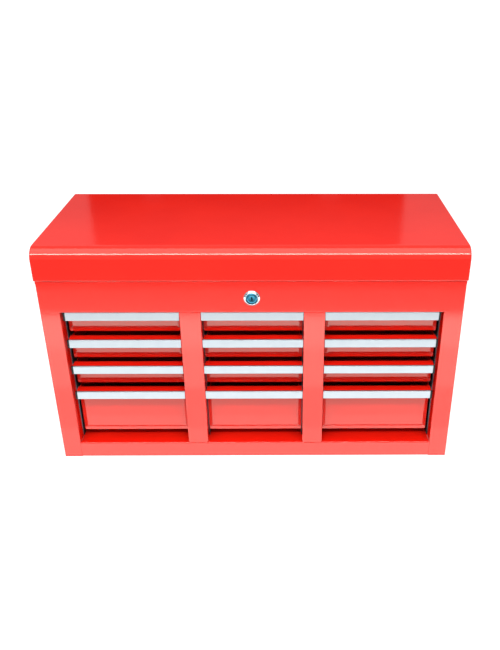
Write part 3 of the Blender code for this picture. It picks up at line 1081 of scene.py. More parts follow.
@dataclass
class PianoHinge:
    """The long hinge behind the lid: two leaves whose knuckles take turns round a pin."""

    knuckles: int = 15
    leaf: float = 1.0 * MM
    gap: float = 0.3 * MM
    rivets: int = 14

    def leaf_mesh(self, node: str, up: int, first: int, count: int) -> bpy.types.Mesh:
        """One leaf with its knuckles and rivets.

        Args:
            node: the CAD node that the leaf stands for.
            up: 1 for the lid's leaf and -1 for the cabinet's.
            first: the number of its first knuckle along the hinge.
            count: how many knuckles it has.

        Returns:
            The leaf as one mesh.
        """
        box, pin = Box.of(node), Box.of("hinge_pin")
        axis, radius = pin.centre, box.high.y - pin.centre.y
        pitch = pin.size.x / self.knuckles
        tip = box.high.z if up > 0 else box.low.z
        root = axis.z + up * (radius + self.gap)
        plate = block((pin.low.x, box.low.y, root), (pin.high.x, box.low.y + self.leaf, tip))
        shape = NodeShape(
            "hinge_knuckles",
            {
                "Start": ("NodeSocketVector", (pin.low.x + pitch * (first + 0.5), axis.y, axis.z)),
                "Step": ("NodeSocketVector", (2 * pitch, 0.0, 0.0)),
                "Count": ("NodeSocketInt", count),
                "Radius": ("NodeSocketFloat", radius),
                "Length": ("NodeSocketFloat", pitch - 2 * self.gap),
                "Tab Size": (
                    "NodeSocketVector",
                    (pitch - 2 * self.gap, self.leaf, radius + 2 * self.gap),
                ),
                "Tab Place": (
                    "NodeSocketVector",
                    (0.0, box.low.y + self.leaf / 2 - axis.y, up * (radius / 2 + self.gap)),
                ),
            },
        )
        given = shape.given
        line = shape.add(
            "GeometryNodeMeshLine",
            {"mode": "OFFSET"},
            {"Count": given["Count"], "Start Location": given["Start"], "Offset": given["Step"]},
        )
        roll = shape.add(
            "GeometryNodeMeshCylinder",
            {"Vertices": 28},
            {"Radius": given["Radius"], "Depth": given["Length"]},
        )
        laid = shape.add(
            "GeometryNodeTransform",
            {"Rotation": Euler((0, math.pi / 2, 0))},
            {"Geometry": roll.outputs[0]},
        )
        tab = shape.add("GeometryNodeMeshCube", links={"Size": given["Tab Size"]})
        set_tab = shape.add(
            "GeometryNodeTransform",
            links={"Geometry": tab.outputs[0], "Translation": given["Tab Place"]},
        )
        knuckle = shape.add("GeometryNodeJoinGeometry", links={0: laid.outputs[0]})
        shape.tree.links.new(set_tab.outputs[0], knuckle.inputs[0])
        spots = shape.add(
            "GeometryNodeInstanceOnPoints",
            links={"Points": line.outputs[0], "Instance": knuckle.outputs[0]},
        )
        rolls = shape.mesh(spots.outputs[0], ZINC)
        height = (root + tip) / 2 + up * MM
        inset = pin.size.x / self.rivets / 2
        row = RivetRow(
            (pin.low.x + inset, box.low.y + self.leaf, height),
            (pin.high.x - inset, box.low.y + self.leaf, height),
            self.rivets,
            (0, 1, 0),
        )
        return joined([softened(plate, 0.25 * MM), rolls, row.mesh(ZINC)])

    def build(self) -> None:
        """Makes both leaves and dresses the pin."""
        for node, body, up, first, count in (
            ("hinge_leaf_cabinet", "cabinet", -1, 0, (self.knuckles + 1) // 2),
            ("hinge_leaf_lid", "lid", 1, 1, self.knuckles // 2),
        ):
            mesh = self.leaf_mesh(node, up, first, count)
            mount(f"{node}_rolled", mesh, ZINC, body, [node])
        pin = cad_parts["hinge_pin"]
        pin.material_slots[0].material = ZINC.material()


# --- Cabinet ---------------------------------------------------------------------------------


@dataclass
class Cabinet:
    """The welded cabinet: base pan, sides with stiles, back, front rail, mullions and floor."""

    sheet: float = SHEET
    bend: float = 1.4 * MM
    rail_bend: float = 2.2 * MM
    stile_return: float = 20 * MM
    stile_head: float = 23.5 * MM
    rim_flange: float = 9 * MM
    foot_flange: float = 15 * MM
    edge: float = 0.2 * MM
    relief: float = 3.0 * MM

    def __post_init__(self) -> None:
        """Takes the shared planes from the CAD nodes."""
        fascia, side = Box.of("front_fascia"), Box.of("side_right")
        self.front, self.back = fascia.low.y, Box.of("back_panel").high.y
        self.top, self.head = fascia.high.z, fascia.low.z
        self.side, self.opening = side.high.x, side.low.x

    def bent(
        self,
        line: Sequence[Point],
        axis: Axis,
        start: float,
        end: float,
        bend: float | Sequence[float] | None = None,
    ) -> bpy.types.Mesh:
        """A bent strip whose outer face follows a line.

        Args:
            line: the corners of the outer face, with the sheet on the left of its run.
            axis: the axis that the strip runs along.
            start: where it starts.
            end: where it ends.
            bend: the outer radius of its bends, if not the usual one, or one for each bend.

        Returns:
            The strip.
        """
        return prism(walled(folded(line, bend or self.bend), self.sheet), axis, start, end)

    def base_pan(self) -> bpy.types.Mesh:
        """The floor with its rail in front, its walls and the flanges round its foot."""
        box, rack = Box.of("base_pan"), Box.of("slide_rack_left_a")
        top, notch = box.high.z, rack.low.y
        half = self.opening - GAP
        rail = self.bent(
            [
                (self.front + self.foot_flange, 0),
                (self.front, 0),
                (self.front, top),
                (notch + MM, top),
            ][::-1],
            Axis.X,
            -half,
            half,
            [self.rail_bend, self.bend],
        )
        floor = block((box.low.x, notch, top - self.sheet), (box.high.x, box.high.y, top))
        walls = [
            self.bent(
                [
                    (box.high.x - self.foot_flange, 0),
                    (box.high.x, 0),
                    (box.high.x, top),
                    (box.high.x - self.foot_flange, top),
                ],
                Axis.Y,
                notch,
                box.high.y,
            ),
            self.bent(
                [
                    (box.low.x + self.foot_flange, 0),
                    (box.low.x, 0),
                    (box.low.x, top),
                    (box.low.x + self.foot_flange, top),
                ][::-1],
                Axis.Y,
                notch,
                box.high.y,
            ),
            block(
                (box.low.x, box.high.y - self.sheet, self.sheet),
                (box.high.x, box.high.y, top - self.sheet / 2),
            ),
            block(
                (box.low.x, box.high.y - self.foot_flange, 0), (box.high.x, box.high.y, self.sheet)
            ),
        ]
        return softened(carved(rail, [], [floor, *walls]), self.edge)

    def side_panel(self, side: Side) -> bpy.types.Mesh:
        """A side with its stile, the stile's return and the flange round its top.

        Args:
            side: which side it is.

        Returns:
            The side as one mesh.
        """
        s, rise = side.value, self.head - GAP
        order = slice(None, None, s)

        def strip(corners: list[Point], axis: Axis, start: float, end: float) -> bpy.types.Mesh:
            """A strip mirrored to this side, with its sheet kept inside."""
            return self.bent([(s * x, y) for x, y in corners][order], axis, start, end)

        stile = strip(
            [
                (self.opening, self.front + self.stile_return),
                (self.opening, self.front),
                (self.side, self.front),
                (self.side, self.back),
            ],
            Axis.Z,
            0,
            rise,
        )
        head = strip(
            [
                (self.side - self.stile_head, self.front),
                (self.side, self.front),
                (self.side, self.back),
            ],
            Axis.Z,
            rise - self.sheet,
            self.top - self.sheet / 2,
        )
        rim = strip(
            [
                (self.side, self.top - 4 * self.sheet),
                (self.side, self.top),
                (self.side - self.sheet - self.rim_flange, self.top),
            ],
            Axis.Y,
            self.front,
            self.back - 1.3 * MM,
        )
        return softened(carved(stile, [], [head, rim]), self.edge)

    def back_sheet(self) -> bpy.types.Mesh:
        """The back with its top flange."""
        box = Box.of("back_panel")
        plate = block(
            (box.low.x, box.high.y - self.sheet, 0), (box.high.x, box.high.y, self.top - 4 * MM)
        )
        half = self.side - self.sheet - self.rim_flange - GAP
        rim = self.bent(
            [
                (box.high.y, self.top - 6 * MM),
                (box.high.y, self.top),
                (box.low.y, self.top),
            ],
            Axis.X,
            -half,
            half,
        )
        return softened(carved(plate, [], [rim]), self.edge)

    def fascia(self) -> bpy.types.Mesh:
        """The rail under the lid, with the lock's hole."""
        box, lock = Box.of("front_fascia"), Box.of("lock_barrel")
        strip = self.bent(
            [
                (box.high.y, box.low.z),
                (box.low.y, box.low.z),
                (box.low.y, box.high.z),
                (box.low.y + 12 * MM, box.high.z),
            ][::-1],
            Axis.X,
            box.low.x,
            box.high.x,
        )
        centre = (lock.centre.x, lock.centre.z)
        hole = prism(disc(centre, 9.9 * MM), Axis.Y, box.low.y - MM, box.low.y + 3 * MM)
        return softened(carved(strip, [hole]), self.edge)

    def mullion(self, side: Side) -> bpy.types.Mesh:
        """A hollow upright between two columns, with a small relief cut at each foot corner.

        Args:
            side: which of the two it is.

        Returns:
            The upright.
        """
        box = Box.of(f"mullion_{side.word}")
        strip = self.bent(
            [
                (box.low.x, box.high.y),
                (box.low.x, box.low.y),
                (box.high.x, box.low.y),
                (box.high.x, box.high.y),
            ],
            Axis.Z,
            box.low.z,
            box.high.z,
        )
        cuts = [
            block(
                (x - 1.6 * MM, box.low.y - MM, box.low.z - MM),
                (x + 1.6 * MM, box.low.y + self.relief, box.low.z + 1.6 * MM),
            )
            for x in (box.low.x, box.high.x)
        ]
        return softened(carved(strip, cuts), self.edge)

    def compartment(self) -> bpy.types.Mesh:
        """The shallow pan under the lid."""
        box = Box.of("compartment_floor")
        outer = softened(block(box.low, box.high), 1.0 * MM, 3)
        wall = self.sheet
        inner = softened(
            block(
                (box.low.x + wall, box.low.y + wall, box.low.z + wall),
                (box.high.x - wall, box.high.y - wall, box.high.z + 8 * wall),
            ),
            0.8 * MM,
            3,
        )
        return softened(carved(outer, [inner]), self.edge)

    def seams(self) -> bpy.types.Mesh:
        """The enamel that fills the joints between the front's parts, just below their faces."""
        fascia, rail = Box.of("front_fascia"), Box.of("base_pan")
        near, far = self.front + 0.04 * MM, self.front + 0.9 * MM
        groove, lap = self.front + 0.14 * MM, 0.3 * MM
        joints = []
        for s in (-1, 1):
            inner, outer = fascia.high.x, self.side - self.stile_head
            joints += [
                (
                    (s * (inner - lap), groove, self.head),
                    (s * (outer + lap), far, self.top - 2 * MM),
                ),
                ((s * outer, near, self.head - 2 * lap), (s * self.opening, far, self.head + lap)),
                (
                    (s * (self.opening - 2 * lap), near, self.bend),
                    (s * (self.opening + lap), far, rail.high.z - self.bend),
                ),
            ]
        for side in Side:
            upright = Box.of(f"mullion_{side.word}")
            joints.append(
                (
                    (upright.low.x + self.bend, near, upright.high.z - lap),
                    (upright.high.x - self.bend, far, self.head + lap),
                )
            )
        return joined([block(low, high) for low, high in joints])

    def welds(self) -> bpy.types.Mesh:
        """Rows of spot welds, seen as low dimples along the sides' and the back's edges."""
        back = Box.of("back_panel")
        rows = []
        for x in (back.low.x + 6 * MM, back.high.x - 6 * MM):
            rows.append(
                RivetRow(
                    (x, back.high.y, 12 * MM), (x, back.high.y, self.top - 30 * MM), 6, (0, 1, 0),
                    2.6 * MM, 0.25 * MM,
                )
            )
        return joined([row.mesh(RED_ENAMEL) for row in rows])

    def build(self) -> None:
        """Makes every cabinet panel."""
        mount("base_pan_folded", self.base_pan(), RED_ENAMEL, "cabinet", ["base_pan"])
        for side in Side:
            for part, mesh in (("side", self.side_panel(side)), ("mullion", self.mullion(side))):
                node = f"{part}_{side.word}"
                mount(f"{node}_folded", mesh, RED_ENAMEL, "cabinet", [node])
        mount("back_panel_sheet", self.back_sheet(), RED_ENAMEL, "cabinet", ["back_panel"])
        mount("front_fascia_rail", self.fascia(), RED_ENAMEL, "cabinet", ["front_fascia"])
        mount(
            "compartment_pan", self.compartment(), RED_ENAMEL, "cabinet", ["compartment_floor"]
        )
        mount("spot_welds", self.welds(), RED_ENAMEL, "cabinet")
        mount("filled_seams", self.seams(), RED_ENAMEL, "cabinet")


# --- Drawers ---------------------------------------------------------------------------------


@dataclass(frozen=True)
class Bay:
    """The space of one column of drawers.

    Attributes:
        name: the column's name.
        low: its left edge.
        high: its right edge.
        low_stile: True where the left edge is a stile.
        high_stile: True where the right edge is a stile.
    """

    name: str
    low: float
    high: float
    low_stile: bool
    high_stile: bool

    @classmethod
    def all(cls) -> list["Bay"]:
        """The three bays, left to right."""
        left, right = Box.of("mullion_left"), Box.of("mullion_right")
        return [
            cls("left", Box.of("side_left").high.x, left.low.x, True, False),
            cls("middle", left.high.x, right.low.x, False, False),
            cls("right", right.high.x, Box.of("side_right").low.x, False, True),
        ]

    def span(self, stile_gap: float, mullion_gap: float) -> tuple[float, float]:
        """The ends of something that stands off the bay's edges.

        Args:
            stile_gap: how far it stands off a stile.
            mullion_gap: how far it stands off a mullion.

        Returns:
            The places of its left and right ends.
        """
        return (
            self.low + (stile_gap if self.low_stile else mullion_gap),
            self.high - (stile_gap if self.high_stile else mullion_gap),
        )


@dataclass
class Drawer:
    """A drawer: a pressed front under a turned-over ledge, a folded tray and a clipped-on pull."""

    bay: Bay
    row: int
    sheet: float = SHEET
    hem_width: float = 3.2 * MM
    hem_height: float = HEM_HEIGHT
    set_back: float = 18.5 * MM
    stile_gap: float = 4.5 * MM
    wall_gap: float = 4.9 * MM
    mullion_gap: float = 1.2 * MM
    border: float = 5.5 * MM
    foot_border: float = 9.5 * MM
    slope: float = 1.2 * MM
    strip: float = 5.8 * MM
    strip_lean: float = 1.7 * MM
    cap: float = 2.0 * MM
    cap_lap: float = 1.2 * MM
    pull_wall: float = 1.0 * MM
    pull_round: float = 1.4 * MM

    def __post_init__(self) -> None:
        """Takes the drawer's places from its CAD nodes."""
        self.name = f"{self.bay.name}_{self.row}"
        self.body = f"drawer_{self.name}"
        self.tray_box, self.pull_box = Box.of(self.body), Box.of(f"pull_{self.name}")
        self.foot, self.ledge = self.tray_box.low.z, self.tray_box.high.z
        self.lip_y = self.tray_box.low.y
        self.face_y = Box.of("front_fascia").low.y + self.set_back
        self.rim = self.ledge - RIM_DROP
        self.face = self.bay.span(self.stile_gap, self.mullion_gap)
        self.walls = self.bay.span(self.wall_gap, self.wall_gap)

    def ledge_mesh(self) -> bpy.types.Mesh:
        """The ledge, from the lip inside the pull back and down to the front."""
        lip_foot = self.pull_box.low.z + self.pull_wall + GAP
        back = self.face_y + self.sheet
        line = folded(
            [
                (self.lip_y, lip_foot),
                (self.lip_y, self.ledge),
                (back, self.ledge),
                (back, self.ledge - 6 * MM),
            ],
            1.3 * MM,
        )
        return softened(prism(walled(line, -self.sheet), Axis.X, *self.face), 0.2 * MM)

    def front_mesh(self) -> bpy.types.Mesh:
        """The pressed front: a flat panel whose side and foot borders fall back."""
        low, high = self.face
        foot, head = self.foot, self.ledge - 5 * MM
        rear = self.face_y + self.slope
        body = bmesh.new()
        outer = [
            body.verts.new((x, rear, z))
            for x, z in ((low, head), (low, foot), (high, foot), (high, head))
        ]
        panel = [
            body.verts.new((x, self.face_y, z))
            for x, z in (
                (low + self.border, head),
                (low + self.border, foot + self.foot_border),
                (high - self.border, foot + self.foot_border),
                (high - self.border, head),
            )
        ]
        body.faces.new(panel)
        for i in range(3):
            body.faces.new((outer[i], outer[i + 1], panel[i + 1], panel[i]))
        for face in body.faces:
            face.normal_update()
            if face.normal.y > 0:
                face.normal_flip()
        sheet = bpy.data.meshes.new("front")
        body.to_mesh(sheet)
        body.free()
        return evaluated(
            sheet,
            [
                (
                    "BEVEL",
                    {
                        "width": 1.1 * MM,
                        "segments": 4,
                        "limit_method": "ANGLE",
                        "angle_limit": math.radians(4),
                    },
                ),
                ("SOLIDIFY", {"thickness": self.sheet, "offset": -1.0}),
                (
                    "BEVEL",
                    {
                        "width": 0.25 * MM,
                        "segments": 2,
                        "limit_method": "ANGLE",
                        "angle_limit": math.radians(40),
                    },
                ),
            ],
        )

    def strip_mesh(self) -> bpy.types.Mesh:
        """The folded strip along the front's foot."""
        front, rear = self.face_y + 0.15 * MM, self.face_y + self.slope + 1.2 * MM
        lean = self.strip_lean if self.row < ROWS else 0.0
        outline = [
            (rear, self.foot + 0.05 * MM),
            (front + lean, self.foot + 0.05 * MM),
            (front, self.foot + self.strip),
            (rear, self.foot + self.strip),
        ]
        low, high = self.face
        return softened(prism(outline, Axis.X, low + 0.1 * MM, high - 0.1 * MM), 0.55 * MM, 4)

    def tray_mesh(self) -> bpy.types.Mesh:
        """The tray behind the front: a channel with hems rolled out, closed by its rear wall."""
        low, high = self.walls
        s, hem = self.sheet, self.hem_width
        drop = self.rim - self.hem_height
        line = folded(
            [
                (low - hem, drop),
                (low - hem, self.rim),
                (low + s, self.rim),
                (low + s, self.foot + s),
                (high - s, self.foot + s),
                (high - s, self.rim),
                (high + hem, self.rim),
                (high + hem, drop),
            ],
            [0.5 * MM, 1.3 * MM, 0.4 * MM, 0.4 * MM, 1.3 * MM, 0.5 * MM],
        )
        rear = self.tray_box.high.y
        start = self.face_y + 6 * MM
        channel = prism(walled(line, -0.8 * s), Axis.Y, start, rear - 0.1 * MM)
        plain = folded(
            [
                (low, self.rim),
                (low, self.foot + 0.2 * MM),
                (high, self.foot + 0.2 * MM),
                (high, self.rim),
            ],
            1.2 * MM,
        )
        near = prism(walled(plain, s), Axis.Y, self.face_y + self.slope, start + 0.1 * MM)
        wall = block(
            (low + 0.1 * MM, rear - s, self.foot + 0.1 * MM), (high - 0.1 * MM, rear, self.rim)
        )
        return joined([softened(part, 0.15 * MM) for part in (channel, near, wall)])

    def pull_section(self, box: Box, wall: float) -> list[Point]:
        """The pull's C section, open to the back, with its ends turned in.

        Args:
            box: the pull's box.
            wall: its wall's thickness.

        Returns:
            The section as a closed ring of points.
        """
        line = folded(
            [
                (box.high.y, box.high.z),
                (box.low.y, box.high.z),
                (box.low.y, box.low.z),
                (box.high.y, box.low.z),
            ],
            self.pull_round,
            8,
        )
        return walled(line, wall)

    def build(self) -> None:
        """Makes the drawer's pieces."""
        parts = [self.ledge_mesh(), self.front_mesh(), self.strip_mesh(), self.tray_mesh()]
        tray = joined(parts)
        mount(f"{self.body}_tray", tray, RED_ENAMEL, self.body, [self.body])
        box = self.pull_box
        start, end = box.low.x, box.high.x
        mesh = softened(
            prism(self.pull_section(box, self.pull_wall), Axis.X, start, end), 0.2 * MM
        )
        mount(
            f"pull_{self.name}_rail", mesh, PULL_ALUMINIUM, self.body, [f"pull_{self.name}"],
        )
        for at_stile, outward, x in (
            (self.bay.low_stile, -1, start),
            (self.bay.high_stile, 1, end),
        ):
            if at_stile:
                mount(f"pull_{self.name}_cap", self.cap_mesh(x, outward), BLACK_PLASTIC, self.body)

    def cap_mesh(self, x: float, outward: int) -> bpy.types.Mesh:
        """The moulded cap on a pull's end beside a stile.

        Args:
            x: where the pull ends.
            outward: the way the cap bulges.

        Returns:
            The cap.
        """
        box, proud = self.pull_box, 0.2 * MM
        outline = rounded(
            ((box.low.y + box.high.y) / 2, box.centre.z),
            box.size.y + 2 * proud,
            box.size.z + 2 * proud,
            self.pull_round,
        )
        body = prism(outline, Axis.X, x - outward * self.cap_lap, x + outward * self.cap)
        return softened(body, 0.5 * MM, 3)


@dataclass
class SlideRack:
    """The slides along one edge of a bay: a plate with a pair of lips for each drawer's hem."""

    bay: Bay
    inwards: int
    sheet: float = SHEET
    gap: float = 0.3 * MM
    run: float = 0.4 * MM
    lip: float = 3.2 * MM

    def build(self) -> None:
        """Makes the rack with its plate, lips and rivets."""
        letter = "a" if self.inwards > 0 else "b"
        node = f"slide_rack_{self.bay.name}_{letter}"
        box = Box.of(node)
        edge = self.bay.low if self.inwards > 0 else self.bay.high
        to_side = self.bay.low_stile if self.inwards > 0 else self.bay.high_stile
        skin = edge + self.inwards * self.gap
        face = skin + self.inwards * self.sheet
        front, back = box.low.y, box.high.y
        far = box.low.x if self.inwards > 0 else box.high.x
        if to_side:
            corners = [(far, front), (face, front), (face, back), (far, back)]
            line = folded(corners, 1.2 * MM)
            plate = prism(
                walled(line, self.inwards * self.sheet), Axis.Z, box.low.z, box.high.z
            )
        else:
            plate = block((skin, front, box.low.z), (face, back, box.high.z))
        parts = [plate]
        for row in range(1, ROWS + 1):
            tray = Box.of(f"drawer_{self.bay.name}_{row}")
            rim = tray.high.z - RIM_DROP
            above, below = rim + self.run, rim - HEM_HEIGHT - self.run
            for low, high in ((above, above + self.sheet), (below - self.sheet, below)):
                parts.append(
                    block(
                        (skin + self.inwards * 0.5 * MM, front + 0.1 * MM, low),
                        (face + self.inwards * self.lip, back - 0.1 * MM, high),
                    )
                )
        rows = [
            RivetRow(
                (face, at, box.low.z + 20 * MM), (face, at, box.high.z - 24 * MM), 4,
                (float(self.inwards), 0, 0), 2.2 * MM, 0.6 * MM,
            ).mesh(SHADE_DARKENED_ZINC)
            for at in (front + 12 * MM, back - 12 * MM)
        ]
        mesh = joined([*(softened(part, 0.2 * MM) for part in parts), *rows])
        # Painted shade: the rack takes the darkened zinc so that the gaps beside the drawers look
        # shaded.
        mount(f"{node}_pressed", mesh, SHADE_DARKENED_ZINC, "cabinet", [node])


class DrawerBank:
    """All twelve drawers with their slides."""

    def build(self) -> None:
        """Makes the racks and the drawers, column by column."""
        for bay in Bay.all():
            for inwards in (1, -1):
                SlideRack(bay, inwards).build()
            for row in range(1, ROWS + 1):
                Drawer(bay, row).build()


# --- Lock ------------------------------------------------------------------------------------


@dataclass
class CamLock:
    """The key lock: a bezel and barrel through the rail, and a plug that turns its cam."""

    bezel_radius: float = 11.5 * MM
    barrel_radius: float = 9.5 * MM
    plug_radius: float = 7.2 * MM
    gap: float = GAP
    notch: float = 0.9 * MM
    notch_angles: tuple[float, ...] = (22, 40, 140, 158)

    def __post_init__(self) -> None:
        """Takes the lock's axis and planes from its CAD nodes."""
        self.box = Box.of("lock_barrel")
        self.centre = (self.box.centre.x, self.box.centre.z)
        self.face = self.box.low.y
        self.seat = Box.of("front_fascia").low.y - self.gap
        reach = self.bezel_radius - 1.4 * MM
        self.notches = [
            (
                self.centre[0] + reach * math.cos(math.radians(angle)),
                self.centre[1] + reach * math.sin(math.radians(angle)),
            )
            for angle in self.notch_angles
        ]

    def barrel(self) -> bpy.types.Mesh:
        """The bezel's crowned ring on the barrel, with four spanner notches."""
        bore = self.plug_radius + self.gap
        face, seat, rear = self.face, self.seat, self.box.high.y
        profile = [
            (bore, rear),
            (bore, face + 1.4 * MM),
            (bore + 1.15 * MM, face + 1.3 * MM),
            (bore + 1.15 * MM, face + 0.35 * MM),
            (bore + 1.35 * MM, face + 0.08 * MM),
            (bore + 1.6 * MM, face),
            (bore + 1.95 * MM, face + 0.2 * MM),
            (self.bezel_radius - 0.7 * MM, face + 1.5 * MM),
            (self.bezel_radius - 0.2 * MM, face + 1.9 * MM),
            (self.bezel_radius, face + 2.3 * MM),
            (self.bezel_radius, seat),
            (self.barrel_radius, seat),
            (self.barrel_radius, rear),
        ]
        ring = turned(profile, Axis.Y, self.centre, 64)
        return carved(ring, [self.pin(x, z, face - MM, face + 2.0 * MM) for x, z in self.notches])

    def pin(self, x: float, z: float, start: float, end: float) -> bpy.types.Mesh:
        """A thin round pin that fits a spanner notch.

        Args:
            x: its axis's place in X.
            z: its axis's place in Z.
            start: where it starts in Y.
            end: where it ends.

        Returns:
            The pin.
        """
        profile = [(0, start), (self.notch, start), (self.notch, end), (0, end)]
        return turned(profile, Axis.Y, (x, z), 12)

    def collar(self) -> bpy.types.Mesh:
        """The blued collar between the bezel and the plug."""
        bore, face = self.plug_radius + 0.25 * MM, self.face
        profile = [
            (bore, face + 1.3 * MM),
            (bore, face + 0.5 * MM),
            (bore + 0.3 * MM, face + 0.32 * MM),
            (bore + 1.05 * MM, face + 0.3 * MM),
            (bore + 1.15 * MM, face + 0.5 * MM),
            (bore + 1.15 * MM, face + 1.3 * MM),
        ]
        return turned(profile, Axis.Y, self.centre, 56)

    def notch_shade(self) -> bpy.types.Mesh:
        """Painted shade: dark discs at the bottom of the spanner notches, standing in for the
        shade there.
        """
        face = self.face
        return joined(
            [self.pin(x, z, face + 0.9 * MM, face + 2.1 * MM) for x, z in self.notches]
        )

    def plug(self) -> bpy.types.Mesh:
        """The plug: a dished face with a warded keyhole."""
        rear = Box.of("lock_plug").high.y
        face = self.face
        profile = [
            (0, face + 0.3 * MM),
            (self.plug_radius * 0.55, face + 0.25 * MM),
            (self.plug_radius * 0.7, face + 0.1 * MM),
            (self.plug_radius - 1.2 * MM, face + 0.15 * MM),
            (self.plug_radius - 0.5 * MM, face + 0.3 * MM),
            (self.plug_radius, face + 0.8 * MM),
            (self.plug_radius, rear),
            (0, rear),
        ]
        x, z = self.centre
        slot = [
            (x + u * MM, z + v * MM)
            for u, v in (
                (-0.9, 3.0), (0.5, 3.0), (0.9, 2.4), (0.7, 0.6), (1.3, 0.0), (1.3, -2.0),
                (0.8, -3.1), (-0.6, -3.1), (-0.9, -2.4), (-0.6, -0.4), (-1.0, 0.4),
            )
        ]
        keyhole = prism(slot, Axis.Y, face - MM, face + 6 * MM)
        return carved(turned(profile, Axis.Y, self.centre, 56), [keyhole])

    def shutter(self) -> bpy.types.Mesh:
        """The dust shutter inside the keyhole, made near black as painted shade for the depth of
        the hole.
        """
        x, z = self.centre
        low = (x - 1.4 * MM, self.face + 0.6 * MM, z - 3.2 * MM)
        high = (x + 1.4 * MM, self.face + 2.4 * MM, z + 3.2 * MM)
        return softened(block(low, high), 0.2 * MM)

    def nut(self) -> bpy.types.Mesh:
        """The hexagonal nut behind the rail, with its edges eased."""
        box = Box.of("lock_nut")
        hexagon = prism(disc(self.centre, box.size.x / 2, 6), Axis.Y, box.low.y, box.high.y)
        bore = prism(
            disc(self.centre, self.barrel_radius + 0.2 * MM, 32), Axis.Y, box.low.y - MM,
            box.high.y + MM,
        )
        return carved(softened(hexagon, 0.6 * MM), [bore])

    def cam(self) -> bpy.types.Mesh:
        """The cam on the plug's end, with the nut that holds it."""
        box = Box.of("lock_cam")
        half = box.size.x / 2
        x, z = self.centre
        outline = arc((x, z), half, 180, 360, 12)
        outline += arc((x, box.high.z - half), half * 0.98, 0, 180, 12)
        plate = softened(prism(outline, Axis.Y, box.low.y, box.high.y), 0.25 * MM)
        nut = softened(
            prism(disc((x, z), 3.6 * MM, 6), Axis.Y, box.high.y - 0.1 * MM, box.high.y + 2 * MM),
            0.3 * MM,
        )
        return joined([plate, nut])

    def build(self) -> None:
        """Makes the lock's pieces."""
        mount("lock_bezel", self.barrel(), CHROME, "cabinet", ["lock_barrel"])
        mount("lock_back_nut", self.nut(), ZINC, "cabinet", ["lock_nut"])
        mount("lock_plug_face", self.plug(), BLUED_ZINC, "lock_core", ["lock_plug"])
        mount("lock_collar", self.collar(), BLUED_ZINC, "cabinet")
        # Painted shade: near-black pieces in the spanner notches and in the keyhole.
        mount("lock_notch_painted_shade", self.notch_shade(), SHADE_BLACK, "cabinet")
        # The shutter's near black is painted shade for the inside of the keyhole.
        mount("lock_dust_shutter", self.shutter(), SHADE_BLACK, "lock_core")
        mount("lock_cam_plate", self.cam(), ZINC, "lock_core", ["lock_cam"])


# --- Side handles ----------------------------------------------------------------------------


@dataclass
class SideHandle:
    """A drop handle: a riveted plate with two lugs, and a bail that swings in them."""

    side: Side
    thickness: float = 1.2 * MM
    lug_spacing: float = 90 * MM
    lug_thickness: float = 6 * MM
    lug_radius: float = 5.5 * MM
    bail_radius: float = 3 * MM
    bail_reach: float = 45 * MM
    bail_bend: float = 8 * MM

    def __post_init__(self) -> None:
        """Takes the handle's places from its CAD nodes."""
        self.plate_box = Box.of(f"handle_plate_{self.side.word}")
        self.bail_box = Box.of(f"handle_bail_{self.side.word}")
        self.inner = self.plate_box.low.x if self.side is Side.RIGHT else self.plate_box.high.x
        self.axis_x = self.bail_box.centre.x
        self.axis_z = self.plate_box.centre.z

    def plate(self) -> bpy.types.Mesh:
        """The plate and its lugs."""
        s = self.side.value
        outline = rounded(
            (0, self.axis_z), self.plate_box.size.y, self.plate_box.size.z, 6 * MM
        )
        outer = self.inner + s * self.thickness
        base = softened(prism(outline, Axis.X, self.inner, outer), 0.4 * MM, 3)
        lugs = []
        for middle in (-self.lug_spacing / 2, self.lug_spacing / 2):
            root = self.inner + s * self.thickness / 2
            nose = arc((abs(self.axis_x), self.axis_z), self.lug_radius, -90, 90, 20)
            ring = [(abs(root), self.axis_z - self.lug_radius), *nose]
            ring += [(abs(root), self.axis_z + self.lug_radius)]
            lug = prism(
                [(s * x, z) for x, z in ring],
                Axis.Y,
                middle - self.lug_thickness / 2,
                middle + self.lug_thickness / 2,
            )
            lugs.append(softened(lug, 0.5 * MM, 3))
        hole = prism(
            disc((self.axis_x, self.axis_z), self.bail_radius + 0.2 * MM, 24), Axis.Y, -0.2, 0.2
        )
        body = carved(lugs[0], [hole], [lugs[1], base])
        rows = []
        for z in (self.axis_z - 10 * MM, self.axis_z + 10 * MM):
            reach = self.plate_box.size.y / 2 - 7 * MM
            rows.append(
                RivetRow(
                    (outer, -reach, z), (outer, reach, z), 2, (float(s), 0, 0), 2.6 * MM, 1.3 * MM
                ).mesh(CHROME)
            )
        return joined([body, *rows])

    def bail(self) -> bpy.types.Mesh:
        """The bail: one rod bent at four corners, with its tips inside the lugs."""
        tip = self.lug_spacing / 2 - self.lug_thickness / 2 - GAP - self.bail_radius / 2
        leg = self.lug_spacing / 2 + self.lug_thickness / 2 + GAP + self.bail_bend
        path = folded(
            [
                (tip, 0),
                (leg, 0),
                (leg, -self.bail_reach),
                (-leg, -self.bail_reach),
                (-leg, 0),
                (-tip, 0),
            ],
            self.bail_bend,
            10,
        )
        curve = bpy.data.curves.new("bail", "CURVE")
        curve.dimensions = "3D"
        curve.bevel_depth = self.bail_radius
        curve.bevel_resolution = 6
        curve.use_fill_caps = True
        spline = curve.splines.new("POLY")
        spline.points.add(len(path) - 1)
        for point, (across, down) in zip(spline.points, path):
            point.co = (self.axis_x, across, self.axis_z + down, 1)
        body = bmesh.new()
        body.from_mesh(plain_mesh(placed("bail", curve)))
        return as_mesh(body)

    def build(self) -> None:
        """Makes the plate and the bail."""
        word = self.side.word
        mount(
            f"handle_plate_{word}_riveted", self.plate(), CHROME, "cabinet",
            [f"handle_plate_{word}"],
        )
        mount(
            f"handle_bail_{word}_rod", self.bail(), CHROME, f"handle_{word}",
            [f"handle_bail_{word}"],
        )


# --- Gas struts ------------------------------------------------------------------------------


